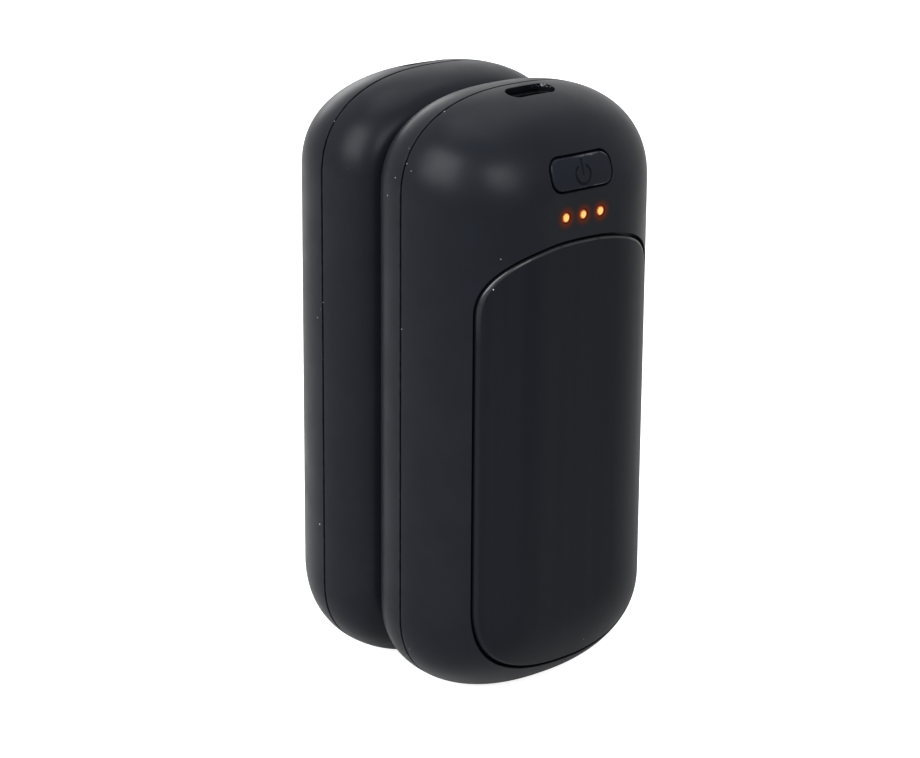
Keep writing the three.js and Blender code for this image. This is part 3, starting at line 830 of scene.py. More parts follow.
def end_group(tree, end, **results):
    """Links a group's results to its outputs, by name."""
    for label, socket in results.items():
        tree.links.new(socket, end.inputs[label])
    print("Group:", tree.name)


def use_group(tree, group, **inputs):
    """A node group placed in a material, with its own values."""
    made = node(tree, "Group", node_tree=group)
    for name, value in inputs.items():
        made.inputs[name.replace("_", " ").capitalize()].default_value = value
    return made.outputs


print("Group helpers are ready")

# %% [markdown]
# Moulded plastic copies its steel mould, which is spark eroded to a fine even grain.
# Seen close, the grain breaks up the gloss. Seen from a step away it only softens it,
# with faint broad patches where hands have polished it. One group gives both.

# %% Group: moulded grain
grain, start, end = start_group(
    "moulded grain", {"Grain size": 0.12, "Patch size": 9.0}, ("Height", "Patches"),
)
PATCHES_FROM, PATCHES_TO = 0.35, 0.65
PIECE_SHIFT = 50.0
place = place_in_mm(grain)
fine = noise(grain, place, maths(grain, "DIVIDE", 1.0, start.outputs["Grain size"]))
shift = times(grain, node(grain, "ObjectInfo").outputs["Random"], PIECE_SHIFT)
scale = maths(grain, "DIVIDE", 1.0, start.outputs["Patch size"])
inputs = {"Vector": place, "W": shift, "Scale": scale, "Detail": 4.0, "Roughness": 0.6}
broad = node(grain, "TexNoise", inputs, noise_dimensions="4D").outputs["Fac"]
end_group(grain, end, Height=fine, Patches=ramp(grain, broad, PATCHES_FROM, PATCHES_TO))

# %% [markdown]
# Dark plastic shows every speck of dust, and most of it gathers along the seam. The
# specks are the centres of a few cells of a Voronoi pattern: each cell has a random
# value, and only the lowest ones keep a speck, so specks are sparse and unlike in size.
# Each piece sees another part of the pattern, so the two units aren't alike.

# %% Group: dust
dust, start, end = start_group(
    "dust", {"Spacing": 1.5, "Share": 0.02, "Radius": 0.11, "Seam share": 0.0}, ("Specks",),
)
SEAM_DUST_FROM, SEAM_DUST_TO = 0.5, 3.0
DUST_SHIFT = 40.0
SMALLEST_SPECK = 0.4
place = place_in_mm(dust)
seam_away = maths(dust, "ABSOLUTE", axes(dust, place)["Y"])
near_seam = ramp(dust, seam_away, SEAM_DUST_FROM, SEAM_DUST_TO, 1.0, 0.0)
gathered = times(dust, near_seam, start.outputs["Seam share"])
shift = times(dust, node(dust, "ObjectInfo").outputs["Random"], DUST_SHIFT)
place = node(dust, "VectorMath", {0: place, 1: shift}, operation="ADD").outputs[0]
scale = maths(dust, "DIVIDE", 1.0, start.outputs["Spacing"])
cells = node(dust, "TexVoronoi", {"Vector": place, "Scale": scale, "Randomness": 1.0})
lot = node(dust, "SeparateColor", {"Color": cells.outputs["Color"]}).outputs
kept = maths(dust, "LESS_THAN", lot["Red"], maths(dust, "ADD", start.outputs["Share"], gathered))
radius = times(dust, start.outputs["Radius"], maths(dust, "ADD", lot["Green"], SMALLEST_SPECK))
away = times(dust, cells.outputs["Distance"], start.outputs["Spacing"])
near = maths(dust, "SUBTRACT", 1.0, maths(dust, "DIVIDE", away, radius))
end_group(dust, end, Specks=times(dust, ramp(dust, near, 0.0, 0.5), kept))

# %% [markdown]
# Handling leaves fine hairline scratches and rubs the edges at the seam smooth and
# slightly paler. The hairlines are thin bands of a stretched noise. The seam is the
# plane y = 0 of each unit, so its wear is a band round that plane.

# %% Group: handling marks
marks, start, end = start_group(
    "handling marks", {"Hairline spacing": 2.5, "Edge width": 0.7}, ("Hairlines", "Edge"),
)
HAIRLINE_TURN, HAIRLINE_STRETCH = (0.3, 0.5, 0.4), (1, 0.06, 0.09)
HAIRLINE_WIDTH = 0.012
place = place_in_mm(marks)
scale = maths(marks, "DIVIDE", 4.0, start.outputs["Hairline spacing"])
lines = noise(marks, place, scale, 3.0, HAIRLINE_STRETCH, HAIRLINE_TURN, Distortion=0.4)
off_line = maths(marks, "ABSOLUTE", maths(marks, "SUBTRACT", lines, 0.5))
handled_patches = ramp(marks, noise(marks, place, 0.2), 0.5, 0.7)
hairlines = times(marks, ramp(marks, off_line, 0.0, HAIRLINE_WIDTH, 1.0, 0.0), handled_patches)
seam_away = maths(marks, "ABSOLUTE", axes(marks, place)["Y"])
edge = maths(marks, "SUBTRACT", 1.0, maths(marks, "DIVIDE", seam_away, start.outputs["Edge width"]))
rubbed_patches = ramp(marks, noise(marks, place, 0.6, 5.0), 0.35, 0.7)
edge = times(marks, ramp(marks, edge, 0.0, 1.0), rubbed_patches)
end_group(marks, end, Hairlines=hairlines, Edge=edge)

# %% [markdown]
# The lights are on. Seen from outside, each has a pale amber core and an orange rim.
# Round it the shell gets a painted glow, a dim red halo that stands for the light
# soaking through the plastic there. All of that depends only on how far a place is
# from the nearest light's axis, so one group gives that distance to both the guide
# and the shell. The middle light is a little dimmer than the others. A small addition
# to its distance shrinks its core and painted halo alike.

# %% Group: distance from the lights
DIMMERS = (0.0, 0.06, 0.02)
near_light, start, end = start_group("distance from the lights", {}, ("Distance",))
x, _, z = axes(near_light, place_in_mm(near_light))
nearest = None
for (light_x, light_z), dimmer in zip(light_places, DIMMERS):
    across = maths(near_light, "SUBTRACT", x, float(light_x))
    up = maths(near_light, "SUBTRACT", z, float(light_z))
    square = maths(near_light, "ADD", times(near_light, across, across), times(near_light, up, up))
    away = maths(near_light, "ADD", maths(near_light, "SQRT", square), dimmer)
    nearest = away if nearest is None else maths(near_light, "MINIMUM", nearest, away)
end_group(near_light, end, Distance=nearest)

# %% [markdown]
# A helper starts each material: a Principled BSDF with its plain values set on its own
# sockets. Others link what varies. Nearly every finish here wanders between two shades
# over the grain's broad patches, so that has a helper too.

# %% Start the material helpers
def start_material(name, **values):
    """A new material, its node tree and its Principled BSDF, with plain values set."""
    made = bpy.data.materials.new(name)
    made.use_nodes = True
    shader = made.node_tree.nodes["Principled BSDF"]
    for label, value in values.items():
        shader.inputs[label.replace("_", " ")].default_value = value
    return made, made.node_tree, shader


def link(tree, shader, **sockets):
    """Links results to a shader's inputs, by name."""
    for label, socket in sockets.items():
        tree.links.new(socket, shader.inputs[label.replace("_", " ")])


def bump(tree, height, strength, distance=0.02):
    """A normal that is tilted by a height, in millimetres."""
    inputs = {"Height": height, "Strength": strength, "Distance": distance * MM}
    return node(tree, "Bump", inputs).outputs["Normal"]


def two_shades(tree, first, second, **values):
    """The grain's outputs, and two shades blended over its broad patches."""
    moulded = use_group(tree, grain, **values)
    return moulded, blend_colours(tree, moulded["Patches"], first, second)


print("Material helpers are ready")

# %% [markdown]
# The shell's plastic is a blue black with a low gloss. It gets the grain as bump, the
# patches and hairlines as changes of roughness, rubbed edges and dust as changes of
# colour, and round the lights a painted glow: a weak red emission over a browner base
# colour. The painted glow also falls on the walls of the light holes, but not on the
# cover behind, which faces the other way.

# %% Material: shell plastic
DUST_GREY = (0.55, 0.55, 0.57, 1)
SHADE_LIFT = 1.25
WORN_SHARE = 0.6
HANDLED_GLOSS, DUST_DULLNESS, HAIRLINE_DULLNESS = 0.06, 0.3, 0.05
MOULD_GRAIN = 0.12


def plastic(name, colour, worn, gloss, specular, dust_share=0.03, seam_share=0.4):
    """A moulded plastic: dark colour, worn colour, and the roughness where it is glossiest."""
    made, tree, shader = start_material(name, Specular_IOR_Level=specular)
    lifted = [part * SHADE_LIFT for part in colour[:3]] + [1]
    moulded, base = two_shades(tree, colour, lifted)
    handled = use_group(tree, marks)
    specks = use_group(tree, dust, Share=dust_share, Seam_share=seam_share)["Specks"]
    base = blend_colours(tree, times(tree, handled["Edge"], WORN_SHARE), base, worn)
    base = blend_colours(tree, specks, base, DUST_GREY)
    rough = ramp(tree, moulded["Patches"], 0.0, 1.0, gloss + HANDLED_GLOSS, gloss)
    rough = maths(tree, "ADD", rough, times(tree, specks, DUST_DULLNESS))
    rough = maths(tree, "ADD", rough, times(tree, handled["Hairlines"], HAIRLINE_DULLNESS))
    normal = bump(tree, moulded["Height"], MOULD_GRAIN)
    link(tree, shader, Base_Color=base, Roughness=rough, Normal=normal)
    return made, tree, shader


SHELL_BLACK = (0.0052, 0.006, 0.0088, 1)
SHELL_WORN = (0.02, 0.021, 0.028, 1)
PAINTED_GLOW_RED, PAINTED_GLOW_BROWN = (0.085, 0.008, 0.0, 1), (0.005, 0.002, 0.0, 1)
PAINTED_GLOW_REACH, PAINTED_GLOW_FALL = 2.6, 2.2
BLACK, WHITE = (0, 0, 0, 1), (1, 1, 1, 1)
shell_plastic, tree, shader = plastic(
    "shell plastic", SHELL_BLACK, SHELL_WORN, gloss=0.31, specular=0.1,
)
# Painted glow round the lights: a red emission, and the base colour turned brown.
away = use_group(tree, near_light)["Distance"]
painted_glow = maths(tree, "POWER", ramp(tree, away, LIGHT_RADIUS, PAINTED_GLOW_REACH, 1.0, 0.0), PAINTED_GLOW_FALL)
facing = axes(tree, node(tree, "TexCoord").outputs["Normal"])["Y"]
painted_glow = times(tree, painted_glow, ramp(tree, facing, 0.2, -0.2))
base_without_glow = shader.inputs["Base Color"].links[0].from_socket
link(
    tree, shader, Emission_Color=blend_colours(tree, painted_glow, BLACK, PAINTED_GLOW_RED),
    Base_Color=blend_colours(tree, maths(tree, "POWER", painted_glow, 0.5), base_without_glow, PAINTED_GLOW_BROWN),
)
shader.inputs["Emission Strength"].default_value = 1.0
print("Material:", shell_plastic.name)

# %% [markdown]
# The heat plate is darker and finer than the shell, with a faint vertical lay, like
# metal rubbed one way before it was coated. The lay is a noise stretched along Z. It
# shows most in the gloss, so it changes the roughness and the bump more than colour.
# Its paler streaks of colour are partly the lay's tone and partly a painted sheen.

# %% Material: heat plate
PLATE_BLACK = (0.0042, 0.005, 0.0076, 1)
# The paler streak colour: partly the lay's tone, partly painted sheen.
PLATE_LAY_AND_SHEEN = (0.0052, 0.006, 0.0088, 1)
WIDE_LAY, NARROW_LAY = (0.55, 0.55, 0.012), (6.0, 6.0, 0.05)
plate_coat, tree, shader = start_material("plate coat", Specular_IOR_Level=0.08)
place = place_in_mm(tree)
wide = noise(tree, place, 1.0, 3.0, WIDE_LAY)
narrow = noise(tree, place, 1.0, 4.0, NARROW_LAY)
moulded = use_group(tree, grain, Grain_size=0.1)
specks = use_group(tree, dust, Share=0.012)["Specks"]
base = blend_colours(tree, ramp(tree, wide, 0.35, 0.65), PLATE_BLACK, PLATE_LAY_AND_SHEEN)
base = blend_colours(tree, specks, base, DUST_GREY)
rough = ramp(tree, wide, 0.3, 0.7, 0.36, 0.4)
rough = maths(tree, "ADD", rough, ramp(tree, narrow, 0.3, 0.7, -0.01, 0.01))
height = maths(tree, "ADD", moulded["Height"], times(tree, narrow, 0.2))
link(tree, shader, Base_Color=base, Roughness=rough, Normal=bump(tree, height, 0.1))
print("Material:", plate_coat.name)

# %% [markdown]
# The button is the shell's plastic, a little bluer and duller. Its sunk symbol is
# painted a dull black, so that it reads at any angle. Fingers polish the rounded edges
# of the button and the plate in places, which show as broken bright lines. A clear coat
# gives that shine. A paler colour there is partly wear and partly a painted highlight,
# set towards the top of the plate and the right of the button. A noise and a fade
# along one axis say where the coat and the paler colour lie.

# %% Materials: button, its symbol and the polished edges
BUTTON_BLACK, BUTTON_WORN = (0.0046, 0.0058, 0.0098, 1), (0.018, 0.019, 0.023, 1)
SYMBOL_BLACK, SYMBOL_WORN = (0.0025, 0.003, 0.005, 1), (0.006, 0.006, 0.007, 1)
button_plastic, _, _ = plastic(
    "button plastic", BUTTON_BLACK, BUTTON_WORN,
    gloss=0.36, specular=0.1, dust_share=0.04, seam_share=0.0,
)
symbol_paint, _, _ = plastic(
    "symbol paint", SYMBOL_BLACK, SYMBOL_WORN, gloss=0.5, specular=0.06,
)


def worn_and_highlit_edge(name, colour, wear_and_highlight_colour, shine, patchy, axis, start, full):
    """A rounded edge, polished and paler in places, partly wear and partly painted highlight, more so
    along one axis.
    """
    made, tree, shader = start_material(name, Specular_IOR_Level=0.1, Coat_Roughness=0.2)
    place = place_in_mm(tree)
    fade = ramp(tree, axes(tree, place)[axis], start, full)
    wear_and_highlights = times(tree, ramp(tree, noise(tree, place, 0.9, 4.0), *patchy), fade)
    moulded = use_group(tree, grain, Grain_size=0.1)
    rough = ramp(tree, moulded["Patches"], 0.0, 1.0, 0.34, 0.38)
    link(
        tree, shader, Base_Color=blend_colours(tree, wear_and_highlights, colour, wear_and_highlight_colour), Roughness=rough,
        Coat_Weight=times(tree, wear_and_highlights, shine), Normal=bump(tree, moulded["Height"], 0.1),
    )
    return made


# Paler marks on these edges: partly wear, partly painted highlight.
plate_edge = worn_and_highlit_edge(
    "plate edge", PLATE_LAY_AND_SHEEN, (0.009, 0.0095, 0.012, 1),
    shine=0.5, patchy=(0.15, 0.5), axis="Z", start=62.0, full=72.0,
)
button_edge = worn_and_highlit_edge(
    "button edge", BUTTON_BLACK, (0.05, 0.052, 0.06, 1),
    shine=0.3, patchy=(0.42, 0.58), axis="X", start=-4.0, full=4.0,
)
for made in (button_plastic, symbol_paint, plate_edge, button_edge):
    print("Material:", made.name)

# %% [markdown]
# The light guide glows by itself. Its core is pale amber and its rim orange, so its
# emission colour follows the distance from the light's axis. A little noise keeps
# the glow from looking drawn. The bar inside stays dim.

# %% Material: lit guide
CORE_AMBER, RIM_ORANGE = (1.0, 0.62, 0.18, 1), (0.9, 0.22, 0.01, 1)
EDGE_BROWN = (0.16, 0.025, 0.001, 1)
CORE_EDGE, RIM_EDGE = (0.46, 0.64), (0.6, 0.74)
lit_guide, tree, shader = start_material(
    "lit guide", Base_Color=(0.05, 0.025, 0.01, 1), Roughness=0.25, Emission_Strength=1.0,
)
away = use_group(tree, near_light)["Distance"]
wobble = noise(tree, place_in_mm(tree), 2.5)
away = maths(tree, "ADD", away, ramp(tree, wobble, 0.3, 0.7, -0.05, 0.05))
glow = blend_colours(tree, ramp(tree, away, *CORE_EDGE), CORE_AMBER, RIM_ORANGE)
glow = blend_colours(tree, ramp(tree, away, *RIM_EDGE), glow, EDGE_BROWN)
frosted = use_group(tree, grain, Grain_size=0.08)["Height"]
link(tree, shader, Emission_Color=glow, Normal=bump(tree, frosted, 0.2))
print("Material:", lit_guide.name)

# %% [markdown]
# The pieces inside are plainer, but each has its own finish: stamped or plated metal,
# a copper-traced heating film, solder mask on the board, a foil-wrapped cell, foam
# and tape. Metals and dull materials are alike enough to share one function each,
# which uses the same grain group at its own scale.

# %% Materials: metals, blacks, resin and foams
ROLLED_LINES = (0.4, 8.0, 8.0)


def metal(name, colour, tarnish, rough):
    """A plated metal with soft tarnish patches and fine rolling lines."""
    made, tree, shader = start_material(name, Metallic=1.0)
    moulded, base = two_shades(tree, colour, tarnish, Grain_size=0.06, Patch_size=3.0)
    rolled = noise(tree, place_in_mm(tree), 1.0, 3.0, ROLLED_LINES)
    rough = ramp(tree, rolled, 0.3, 0.7, rough - 0.05, rough + 0.08)
    link(tree, shader, Base_Color=base, Roughness=rough, Normal=bump(tree, moulded["Height"], 0.08))
    return made


def matte(name, colour, other, rough, grain_size=0.12, strength=0.15):
    """A dull material whose colour wanders between two shades."""
    made, tree, shader = start_material(name)
    moulded, base = two_shades(tree, colour, other, Grain_size=grain_size, Patch_size=2.5)
    rough = ramp(tree, moulded["Patches"], 0.0, 1.0, rough, rough + 0.12)
    link(tree, shader, Base_Color=base, Roughness=rough, Normal=bump(tree, moulded["Height"], strength))
    return made


screw_steel = metal("screw steel", (0.62, 0.62, 0.63, 1), (0.45, 0.44, 0.43, 1), rough=0.24)
magnet_nickel = metal("magnet nickel", (0.66, 0.65, 0.62, 1), (0.52, 0.5, 0.47, 1), rough=0.18)
switch_black = matte("switch black", (0.012, 0.012, 0.013, 1), (0.02, 0.02, 0.021, 1), rough=0.45)
led_resin = matte(
    "led resin", (0.72, 0.62, 0.36, 1), (0.78, 0.7, 0.48, 1),
    rough=0.3, grain_size=0.1, strength=0.05,
)
tape_white = matte(
    "tape foam", (0.6, 0.57, 0.48, 1), (0.7, 0.67, 0.6, 1),
    rough=0.75, grain_size=0.3, strength=0.5,
)
foam_grey = matte(
    "pad foam", (0.03, 0.03, 0.032, 1), (0.05, 0.05, 0.052, 1),
    rough=0.85, grain_size=0.35, strength=0.9,
)
print("Plain inner materials are ready")

# %% [markdown]
# The port's walls get a painted shade, a darker and duller black than the shell's,
# for the shade inside the opening. Pale grey marks just inside the mouth, more at one
# end, are painted glints. The sleeve deeper down is plated dark, and that dark also
# paints in the shade deep in the port.

# %% Materials: port walls and socket sleeve
# Painted shade on the port's walls, and painted glints near the top of the mouth.
GLINTS_FROM, GLINTS_TO = 1.6, 3.6
NO_GLINTS_BELOW, GLINTS_ABOVE = 98.75, 99.1
PORT_SHADE, PORT_DEEP_SHADE = (0.0026, 0.003, 0.0045, 1), (0.0016, 0.002, 0.0032, 1)
PAINTED_GLINT_GREY = (0.19, 0.2, 0.22, 1)
port_painted_shade, tree, shader = start_material("port painted shade", Specular_IOR_Level=0.03, Roughness=0.6)
place = place_in_mm(tree)
x, _, z = axes(tree, place)
painted_glints = ramp(tree, noise(tree, place, 1.6, 3.0), 0.52, 0.6)
painted_glints = times(tree, ramp(tree, x, GLINTS_FROM, GLINTS_TO), painted_glints)
painted_glints = times(tree, painted_glints, ramp(tree, z, NO_GLINTS_BELOW, GLINTS_ABOVE))
moulded, base = two_shades(tree, PORT_DEEP_SHADE, PORT_SHADE)
base = blend_colours(tree, painted_glints, base, PAINTED_GLINT_GREY)
link(tree, shader, Base_Color=base, Normal=bump(tree, moulded["Height"], 0.15))

# Dark plating, partly a painted shade for the depth of the port.
SLEEVE_PLATING_AND_SHADE, SLEEVE_DULL_PLATING_AND_SHADE = (0.005, 0.005, 0.006, 1), (0.012, 0.012, 0.013, 1)
sleeve_plating, tree, shader = start_material("sleeve plating", Metallic=1.0, Roughness=0.5)
plated, base = two_shades(tree, SLEEVE_PLATING_AND_SHADE, SLEEVE_DULL_PLATING_AND_SHADE, Grain_size=0.06, Patch_size=1.5)
link(tree, shader, Base_Color=base, Normal=bump(tree, plated["Height"], 0.08))
print("Materials:", port_painted_shade.name, "and", sleeve_plating.name)

# %% [markdown]
# The tongue carries a row of gilt contacts at half a millimetre's pitch. They are
# flush with the plastic, so a mask is enough: a repeating stripe across X, kept to the
# tongue's flat faces and below its tip, turns the plastic to gold.

# %% Material: socket tongue
CONTACT_PITCH, CONTACT_WIDTH, CONTACTS_REACH, CONTACTS_DROP = 0.5, 0.28, 3.0, 1.2
GILT = (0.85, 0.6, 0.25, 1)
TONGUE_BLACK, TONGUE_DULL = (0.01, 0.01, 0.011, 1), (0.018, 0.018, 0.02, 1)
tongue_finish, tree, shader = start_material("socket tongue")
x, y, z = axes(tree, place_in_mm(tree))
beat = maths(tree, "PINGPONG", maths(tree, "ADD", x, CONTACT_PITCH / 2), CONTACT_PITCH / 2)
stripe = maths(tree, "GREATER_THAN", beat, (CONTACT_PITCH - CONTACT_WIDTH) / 2)
off_middle = maths(tree, "ABSOLUTE", maths(tree, "SUBTRACT", y, float(PORT_Y)))
for limit in (
    maths(tree, "LESS_THAN", maths(tree, "ABSOLUTE", x), CONTACTS_REACH),
    maths(tree, "COMPARE", off_middle, TONGUE_BLADE[1] / 2, 0.02),
    maths(tree, "LESS_THAN", z, float(blade_high[2]) - CONTACTS_DROP),
):
    stripe = times(tree, stripe, limit)
grained, black = two_shades(tree, TONGUE_BLACK, TONGUE_DULL, Patch_size=2.0)
link(
    tree, shader, Base_Color=blend_colours(tree, stripe, black, GILT), Metallic=stripe,
    Roughness=ramp(tree, stripe, 0.0, 1.0, 0.45, 0.22), Normal=bump(tree, grained["Height"], 0.1),
)
print("Material:", tongue_finish.name)

# %% [markdown]
# The cell is wrapped in creased foil. The film's copper trace runs up and down under
# clear amber plastic, at an even pitch. The board's copper shows as lighter paths
# through its green mask. The edges of a Voronoi pattern's cells draw creases and paths.

# %% Materials: cell foil, heating film and circuit board
def cell_edges(tree, scale, low, high):
    """0 on the edges of a Voronoi pattern's cells, and 1 away from them."""
    inputs = {"Vector": place_in_mm(tree), "Scale": scale}
    cells = node(tree, "TexVoronoi", inputs, feature="DISTANCE_TO_EDGE")
    return ramp(tree, cells.outputs["Distance"], low, high)


cell_foil, tree, shader = start_material("cell foil", Metallic=0.85)
crease = cell_edges(tree, 0.35, 0.0, 0.12)
wrapped, base = two_shades(
    tree, (0.5, 0.51, 0.53, 1), (0.6, 0.61, 0.62, 1), Grain_size=0.4, Patch_size=6.0,
)
rough = ramp(tree, wrapped["Patches"], 0.0, 1.0, 0.38, 0.5)
link(tree, shader, Base_Color=base, Roughness=rough, Normal=bump(tree, crease, 0.25, 0.1))

TRACE_PITCH = 2.4
heater, tree, shader = start_material("heating film", Roughness=0.35)
x = axes(tree, place_in_mm(tree))["X"]
trace = ramp(tree, maths(tree, "PINGPONG", x, TRACE_PITCH / 2), TRACE_PITCH / 5, TRACE_PITCH / 4)
_, amber = two_shades(tree, (0.36, 0.13, 0.02, 1), (0.45, 0.18, 0.03, 1), Patch_size=4.0)
base = blend_colours(tree, trace, amber, (0.6, 0.27, 0.12, 1))
link(tree, shader, Base_Color=base, Metallic=times(tree, trace, 0.8), Normal=bump(tree, trace, 0.3))

board_green, tree, shader = start_material("board mask", Coat_Roughness=0.15)
copper = cell_edges(tree, 0.6, 0.06, 0.12)
mask, green = two_shades(tree, (0.006, 0.07, 0.02, 1), (0.01, 0.1, 0.03, 1), Patch_size=5.0)
base = blend_colours(tree, copper, (0.02, 0.16, 0.05, 1), green)
rough = ramp(tree, mask["Patches"], 0.0, 1.0, 0.3, 0.42)
link(tree, shader, Base_Color=base, Roughness=rough, Normal=bump(tree, copper, 0.2))
print("Inner materials are ready")

# %% [markdown]
# Now each form goes into both units. Its object sits on the unit's seam and turns with
# the unit, and it rides on the unit's body, or on its button's. The openings leave
# slivers in the smooth skin, which would shade unevenly. So every corner that lies in
# the swelling surface gets that surface's exact normal instead. Last, faces are picked
# by place for finishes of their own: the port's walls, with their painted shade and
# painted glints, the symbol, and the polished edges, whose paler colour is partly wear
# and partly a painted highlight.

# %% Set the forms into both units
SHARP_ANGLE = 30
SKIN_ANGLE = 40
SKIN_TOLERANCE = 0.015


def shade(mesh, surface):
    """Smooths the gentle edges, and gives corners in the surface its exact normals."""
    mesh.shade_smooth()
    mesh.set_sharp_from_angle(angle=math.radians(SHARP_ANGLE))
    if surface is None:
        return
    points = np.zeros(3 * len(mesh.vertices), np.float32)
    mesh.vertices.foreach_get("co", points)
    flats = np.zeros(3 * len(mesh.polygons), np.float32)
    mesh.polygons.foreach_get("normal", flats)
    corners = np.zeros(3 * len(mesh.loops), np.float32)
    mesh.corner_normals.foreach_get("vector", corners)
    vertex_of = np.zeros(len(mesh.loops), np.int32)
    mesh.loops.foreach_get("vertex_index", vertex_of)
    counts = np.zeros(len(mesh.polygons), np.int32)
    mesh.polygons.foreach_get("loop_total", counts)
    face_of = np.repeat(np.arange(len(counts)), counts)
    corners = corners.reshape(-1, 3)
    distance, exact = surface_normals(points.reshape(-1, 3) / MM, *surface)
    lean = (exact[vertex_of] * flats.reshape(-1, 3)[face_of]).sum(1)
    skin = (distance[vertex_of] < SKIN_TOLERANCE) & (lean > math.cos(math.radians(SKIN_ANGLE)))
    corners[skin] = exact[vertex_of[skin]]
    mesh.normals_split_custom_set(corners.tolist())


def install(form, name, material, surface=None, body="unit"):
    """Scales a form to metres, shades it, and sets a copy of it into each unit."""
    mesh = form.data
    mesh.transform(((MM, 0, 0, 0), (0, MM, 0, 0), (0, 0, MM, 0), (0, 0, 0, 1)))
    mesh.materials.clear()
    mesh.materials.append(material)
    shade(mesh, surface)
    made = []
    for unit, turn in UNIT_TURNS.items():
        piece = bpy.data.objects.new(f"{unit}_fine_{name}", mesh.copy() if made else mesh)
        bpy.context.scene.collection.objects.link(piece)
        piece.location, piece.rotation_euler.z = (0, seam_of(unit) * MM, 0), turn
        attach(piece, unit.replace("unit", body))
        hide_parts(f"{unit}_{name}")
        made.append(piece)
    bpy.data.objects.remove(form)
    return made


def mark_faces(piece, part_of, *materials):
    """Gives the faces that a rule picks, by their middles, a finish of their own."""
    for material in materials:
        piece.data.materials.append(material)
    centres = np.array([face.center for face in piece.data.polygons]) / MM
    piece.data.polygons.foreach_set("material_index", part_of(*centres.T).astype(np.int32))


front_skin = (FRONT_DEPTH, FRONT_ROUND, FRONT_FULLNESS)
back_skin = (BACK_DEPTH, BACK_ROUND, BACK_FULLNESS)
shells = install(shell, "shell", shell_plastic, front_skin)
install(cover, "cover", shell_plastic, back_skin)
plates = install(plate, "heat_plate", plate_coat, front_skin)
button_skin = (*front_skin, BUTTON_UNDER)
buttons = install(button, "power_button", button_plastic, button_skin, body="button")
for piece in buttons:
    mark_faces(piece, on_button, symbol_paint, button_edge)
for piece in plates:
    mark_faces(piece, on_plate, plate_edge)
for piece in shells:
    mark_faces(piece, in_port, port_painted_shade)
install(guide, "light_guide", lit_guide)
install(sleeve, "usb_sleeve", sleeve_plating)
install(socket_tongue, "usb_tongue", tongue_finish)
for piece in install(foam, "foam_pad", foam_grey):
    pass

# %% [markdown]
# The pieces inside that CAD already shapes well keep their CAD meshes. Each only gets
# its finish, in the material slot it came with.

# %% Dress the inner CAD pieces
INNER_FINISHES = {
    "heating_film": heater, "circuit_board": board_green, "battery": cell_foil,
    "battery_tape": tape_white, "tact_switch": switch_black, "switch_plunger": switch_black,
    "thermistor": switch_black, "led_": led_resin, "board_screw": screw_steel,
    "magnet": magnet_nickel,
}
for name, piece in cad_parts.items():
    for part, finish in INNER_FINISHES.items():
        if part in name and not piece.hide_render:
            piece.data.materials.clear()
            piece.data.materials.append(finish)
print("Inner CAD pieces dressed:", sum(not o.hide_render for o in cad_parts.values()))

# %% [markdown]
# The stage is a plain pale floor under soft light. Behind the object the photograph is
# pure white. So a lift whitens the floor, for the camera alone: mirrored in the satin
# plastic, it would turn the lower faces pale. Far off, a further glow is seen by
# mirrored and transmitted rays too. Towards the front left the floor is greyer, a
# painted shade: the shells mirror it there as darker surroundings.

# %% Lay the floor
FLOOR_SIZE = 8.0
FLOOR_DROP = 0.00005
floor_mesh = bpy.data.meshes.new("floor")
half = FLOOR_SIZE / 2
corners = [(-half, -half, 0), (half, -half, 0), (half, half, 0), (-half, half, 0)]
floor_mesh.from_pydata(corners, [], [(0, 1, 2, 3)])
floor = bpy.data.objects.new("floor", floor_mesh)
bpy.context.scene.collection.objects.link(floor)
floor.location.z = -FLOOR_DROP
floor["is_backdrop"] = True


def seen_directly(tree):
    """1 for camera, glossy and transmission rays, and 0 for the rest."""
    path = node(tree, "LightPath").outputs
    seen = maths(tree, "MAXIMUM", path["Is Camera Ray"], path["Is Glossy Ray"])
    return maths(tree, "MAXIMUM", seen, path["Is Transmission Ray"])


FULL_GLOW, GLOW_START, GLOW_END = 0.35, 0.2, 0.8
SHADOW_LIFT = 0.85
# Painted shade: grey floor towards the front left, seen mirrored in the shells.
PALE, PAINTED_SHADE_GREY = (0.68, 0.68, 0.68, 1), (0.22, 0.22, 0.22, 1)
PAINTED_SHADE_FROM, PAINTED_SHADE_TO = 0.14, 0.32
floor_paint, tree, shader = start_material("floor paint", Roughness=0.9, Specular_IOR_Level=0.1)
place = node(tree, "TexCoord").outputs["Object"]
away = node(tree, "VectorMath", {0: place}, operation="LENGTH").outputs["Value"]
x, y, _ = axes(tree, place)
to_front_left = times(tree, maths(tree, "ADD", x, y), -math.sqrt(0.5))
painted_shade = ramp(tree, to_front_left, PAINTED_SHADE_FROM, PAINTED_SHADE_TO)
mottle = ramp(tree, noise(tree, place, 60.0, 3.0), 0.3, 0.7, -0.02, 0.02)
painted_shade = maths(tree, "ADD", painted_shade, mottle)
glow = times(tree, ramp(tree, away, GLOW_START, GLOW_END, 0.0, FULL_GLOW), seen_directly(tree))
lift = times(tree, node(tree, "LightPath").outputs["Is Camera Ray"], SHADOW_LIFT)
glow = maths(tree, "ADD", glow, lift)
link(
    tree, shader, Base_Color=blend_colours(tree, painted_shade, PALE, PAINTED_SHADE_GREY),
    Emission_Color=blend_colours(tree, glow, BLACK, WHITE),
)
shader.inputs["Emission Strength"].default_value = 1.0
floor_mesh.materials.append(floor_paint)
print(f"Floor: {FLOOR_SIZE:.0f} m square, glows fully from {GLOW_END} m")

# %% [markdown]
# The world gives an even fill, and shows plain white wherever it is looked at. Five
# soft lamps shape the form. The strongest stands at the left, where its reflection
# lights the upper left of each shell. One in front lights the heat plate, one overhead
# the bright tops, and weak ones behind and at the right the far edges. Their sum is
# kept near the level at which a colour renders as it is written.

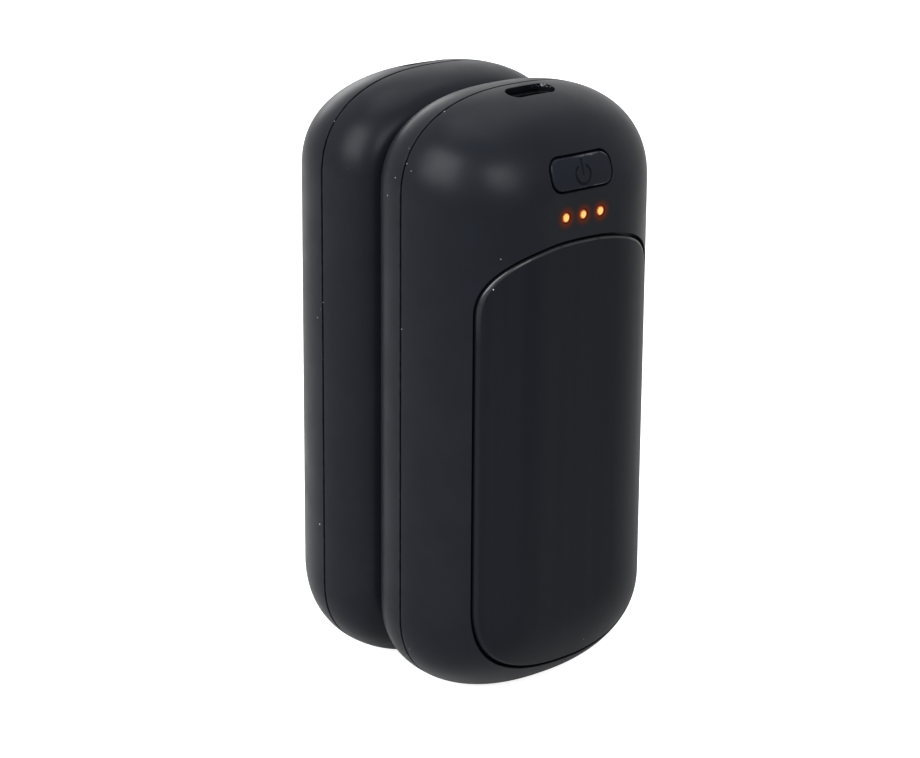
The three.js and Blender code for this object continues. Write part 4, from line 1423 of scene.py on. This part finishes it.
# %% Light the stage
WORLD_FILL = 0.36
world = bpy.data.worlds.new("studio")
bpy.context.scene.world = world
world.use_nodes = True
tree = world.node_tree
tree.nodes.clear()
fill = node(tree, "Background", {"Color": WHITE, "Strength": WORLD_FILL}).outputs[0]
white = node(tree, "Background", {"Color": WHITE, "Strength": 1.0}).outputs[0]
mixed = node(tree, "MixShader", {0: seen_directly(tree), 1: fill, 2: white}).outputs[0]
node(tree, "OutputWorld", {"Surface": mixed})


low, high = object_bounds()
middle = (low + high) / 2
LAMPS = {
    "overhead": ((0.1, 0.1, 0.85), (0.6, 0.6), 2.2),
    "left": ((-0.85, -0.05, 0.62), (0.7, 0.78), 16.0),
    "front": ((-0.2, -0.8, 0.54), (0.45, 0.4), 4.7),
    "behind": ((0.34, 1.0, 0.36), (0.5, 0.3), 1.1),
    "right": ((0.62, 0.4, 0.67), (0.6, 0.5), 0.4),
}
for name, (place, size, watts) in LAMPS.items():
    data = bpy.data.lights.new(name, "AREA")
    data.shape = "RECTANGLE"
    data.size, data.size_y = size
    data.energy = watts
    lamp = bpy.data.objects.new(name, data)
    bpy.context.scene.collection.objects.link(lamp)
    lamp.location = place
    lamp.rotation_euler = (middle - lamp.location).to_track_quat("-Z", "Y").to_euler()
print("Lamps:", ", ".join(LAMPS))

# %% [markdown]
# The camera stands where the photographer's did. Its azimuth, height and distance were
# fitted to the object's outlines in the photograph, and its lens to their perspective.
# The photograph is 920 pixels wide, so the lens follows from the focal length in pixels.

# %% Set the camera
from mathutils import Matrix, Vector

AZIMUTH, ELEVATION, ROLL = (math.radians(angle) for angle in (-40.645, 17.626, 0.411))
DISTANCE = 500.7
TARGET_ACROSS, TARGET_UP = -1.927, 48.338
IMAGE_WIDTH_PX, FOCAL_LENGTH_PX = 920, 3040.3
SENSOR_WIDTH = 36

level_right = Vector((math.cos(AZIMUTH), math.sin(AZIMUTH), 0))
level_back = Vector((math.sin(AZIMUTH), -math.cos(AZIMUTH), 0))
back = level_back * math.cos(ELEVATION) + Vector((0, 0, math.sin(ELEVATION)))
level_up = back.cross(level_right)
right = level_right * math.cos(ROLL) + level_up * math.sin(ROLL)
up = back.cross(right)
target = level_right * TARGET_ACROSS + Vector((0, 0, TARGET_UP))
camera_data = bpy.data.cameras.new("camera")
camera_data.sensor_width = SENSOR_WIDTH
camera_data.lens = FOCAL_LENGTH_PX / IMAGE_WIDTH_PX * SENSOR_WIDTH
camera_data.clip_start = 0.01
camera = bpy.data.objects.new("camera", camera_data)
bpy.context.scene.collection.objects.link(camera)
turned = Matrix((right, up, back)).transposed().to_4x4()
camera.matrix_world = Matrix.Translation((target + back * DISTANCE) * MM) @ turned
bpy.context.scene.camera = camera
print(f"Lens: {camera_data.lens:.1f} mm")

# %% [markdown]
# Colours are shown plainly, with no film look. Last, the finished model's box is
# measured.

# %% Show colours plainly and measure the model
bpy.context.scene.view_settings.view_transform = "Standard"
low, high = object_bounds()
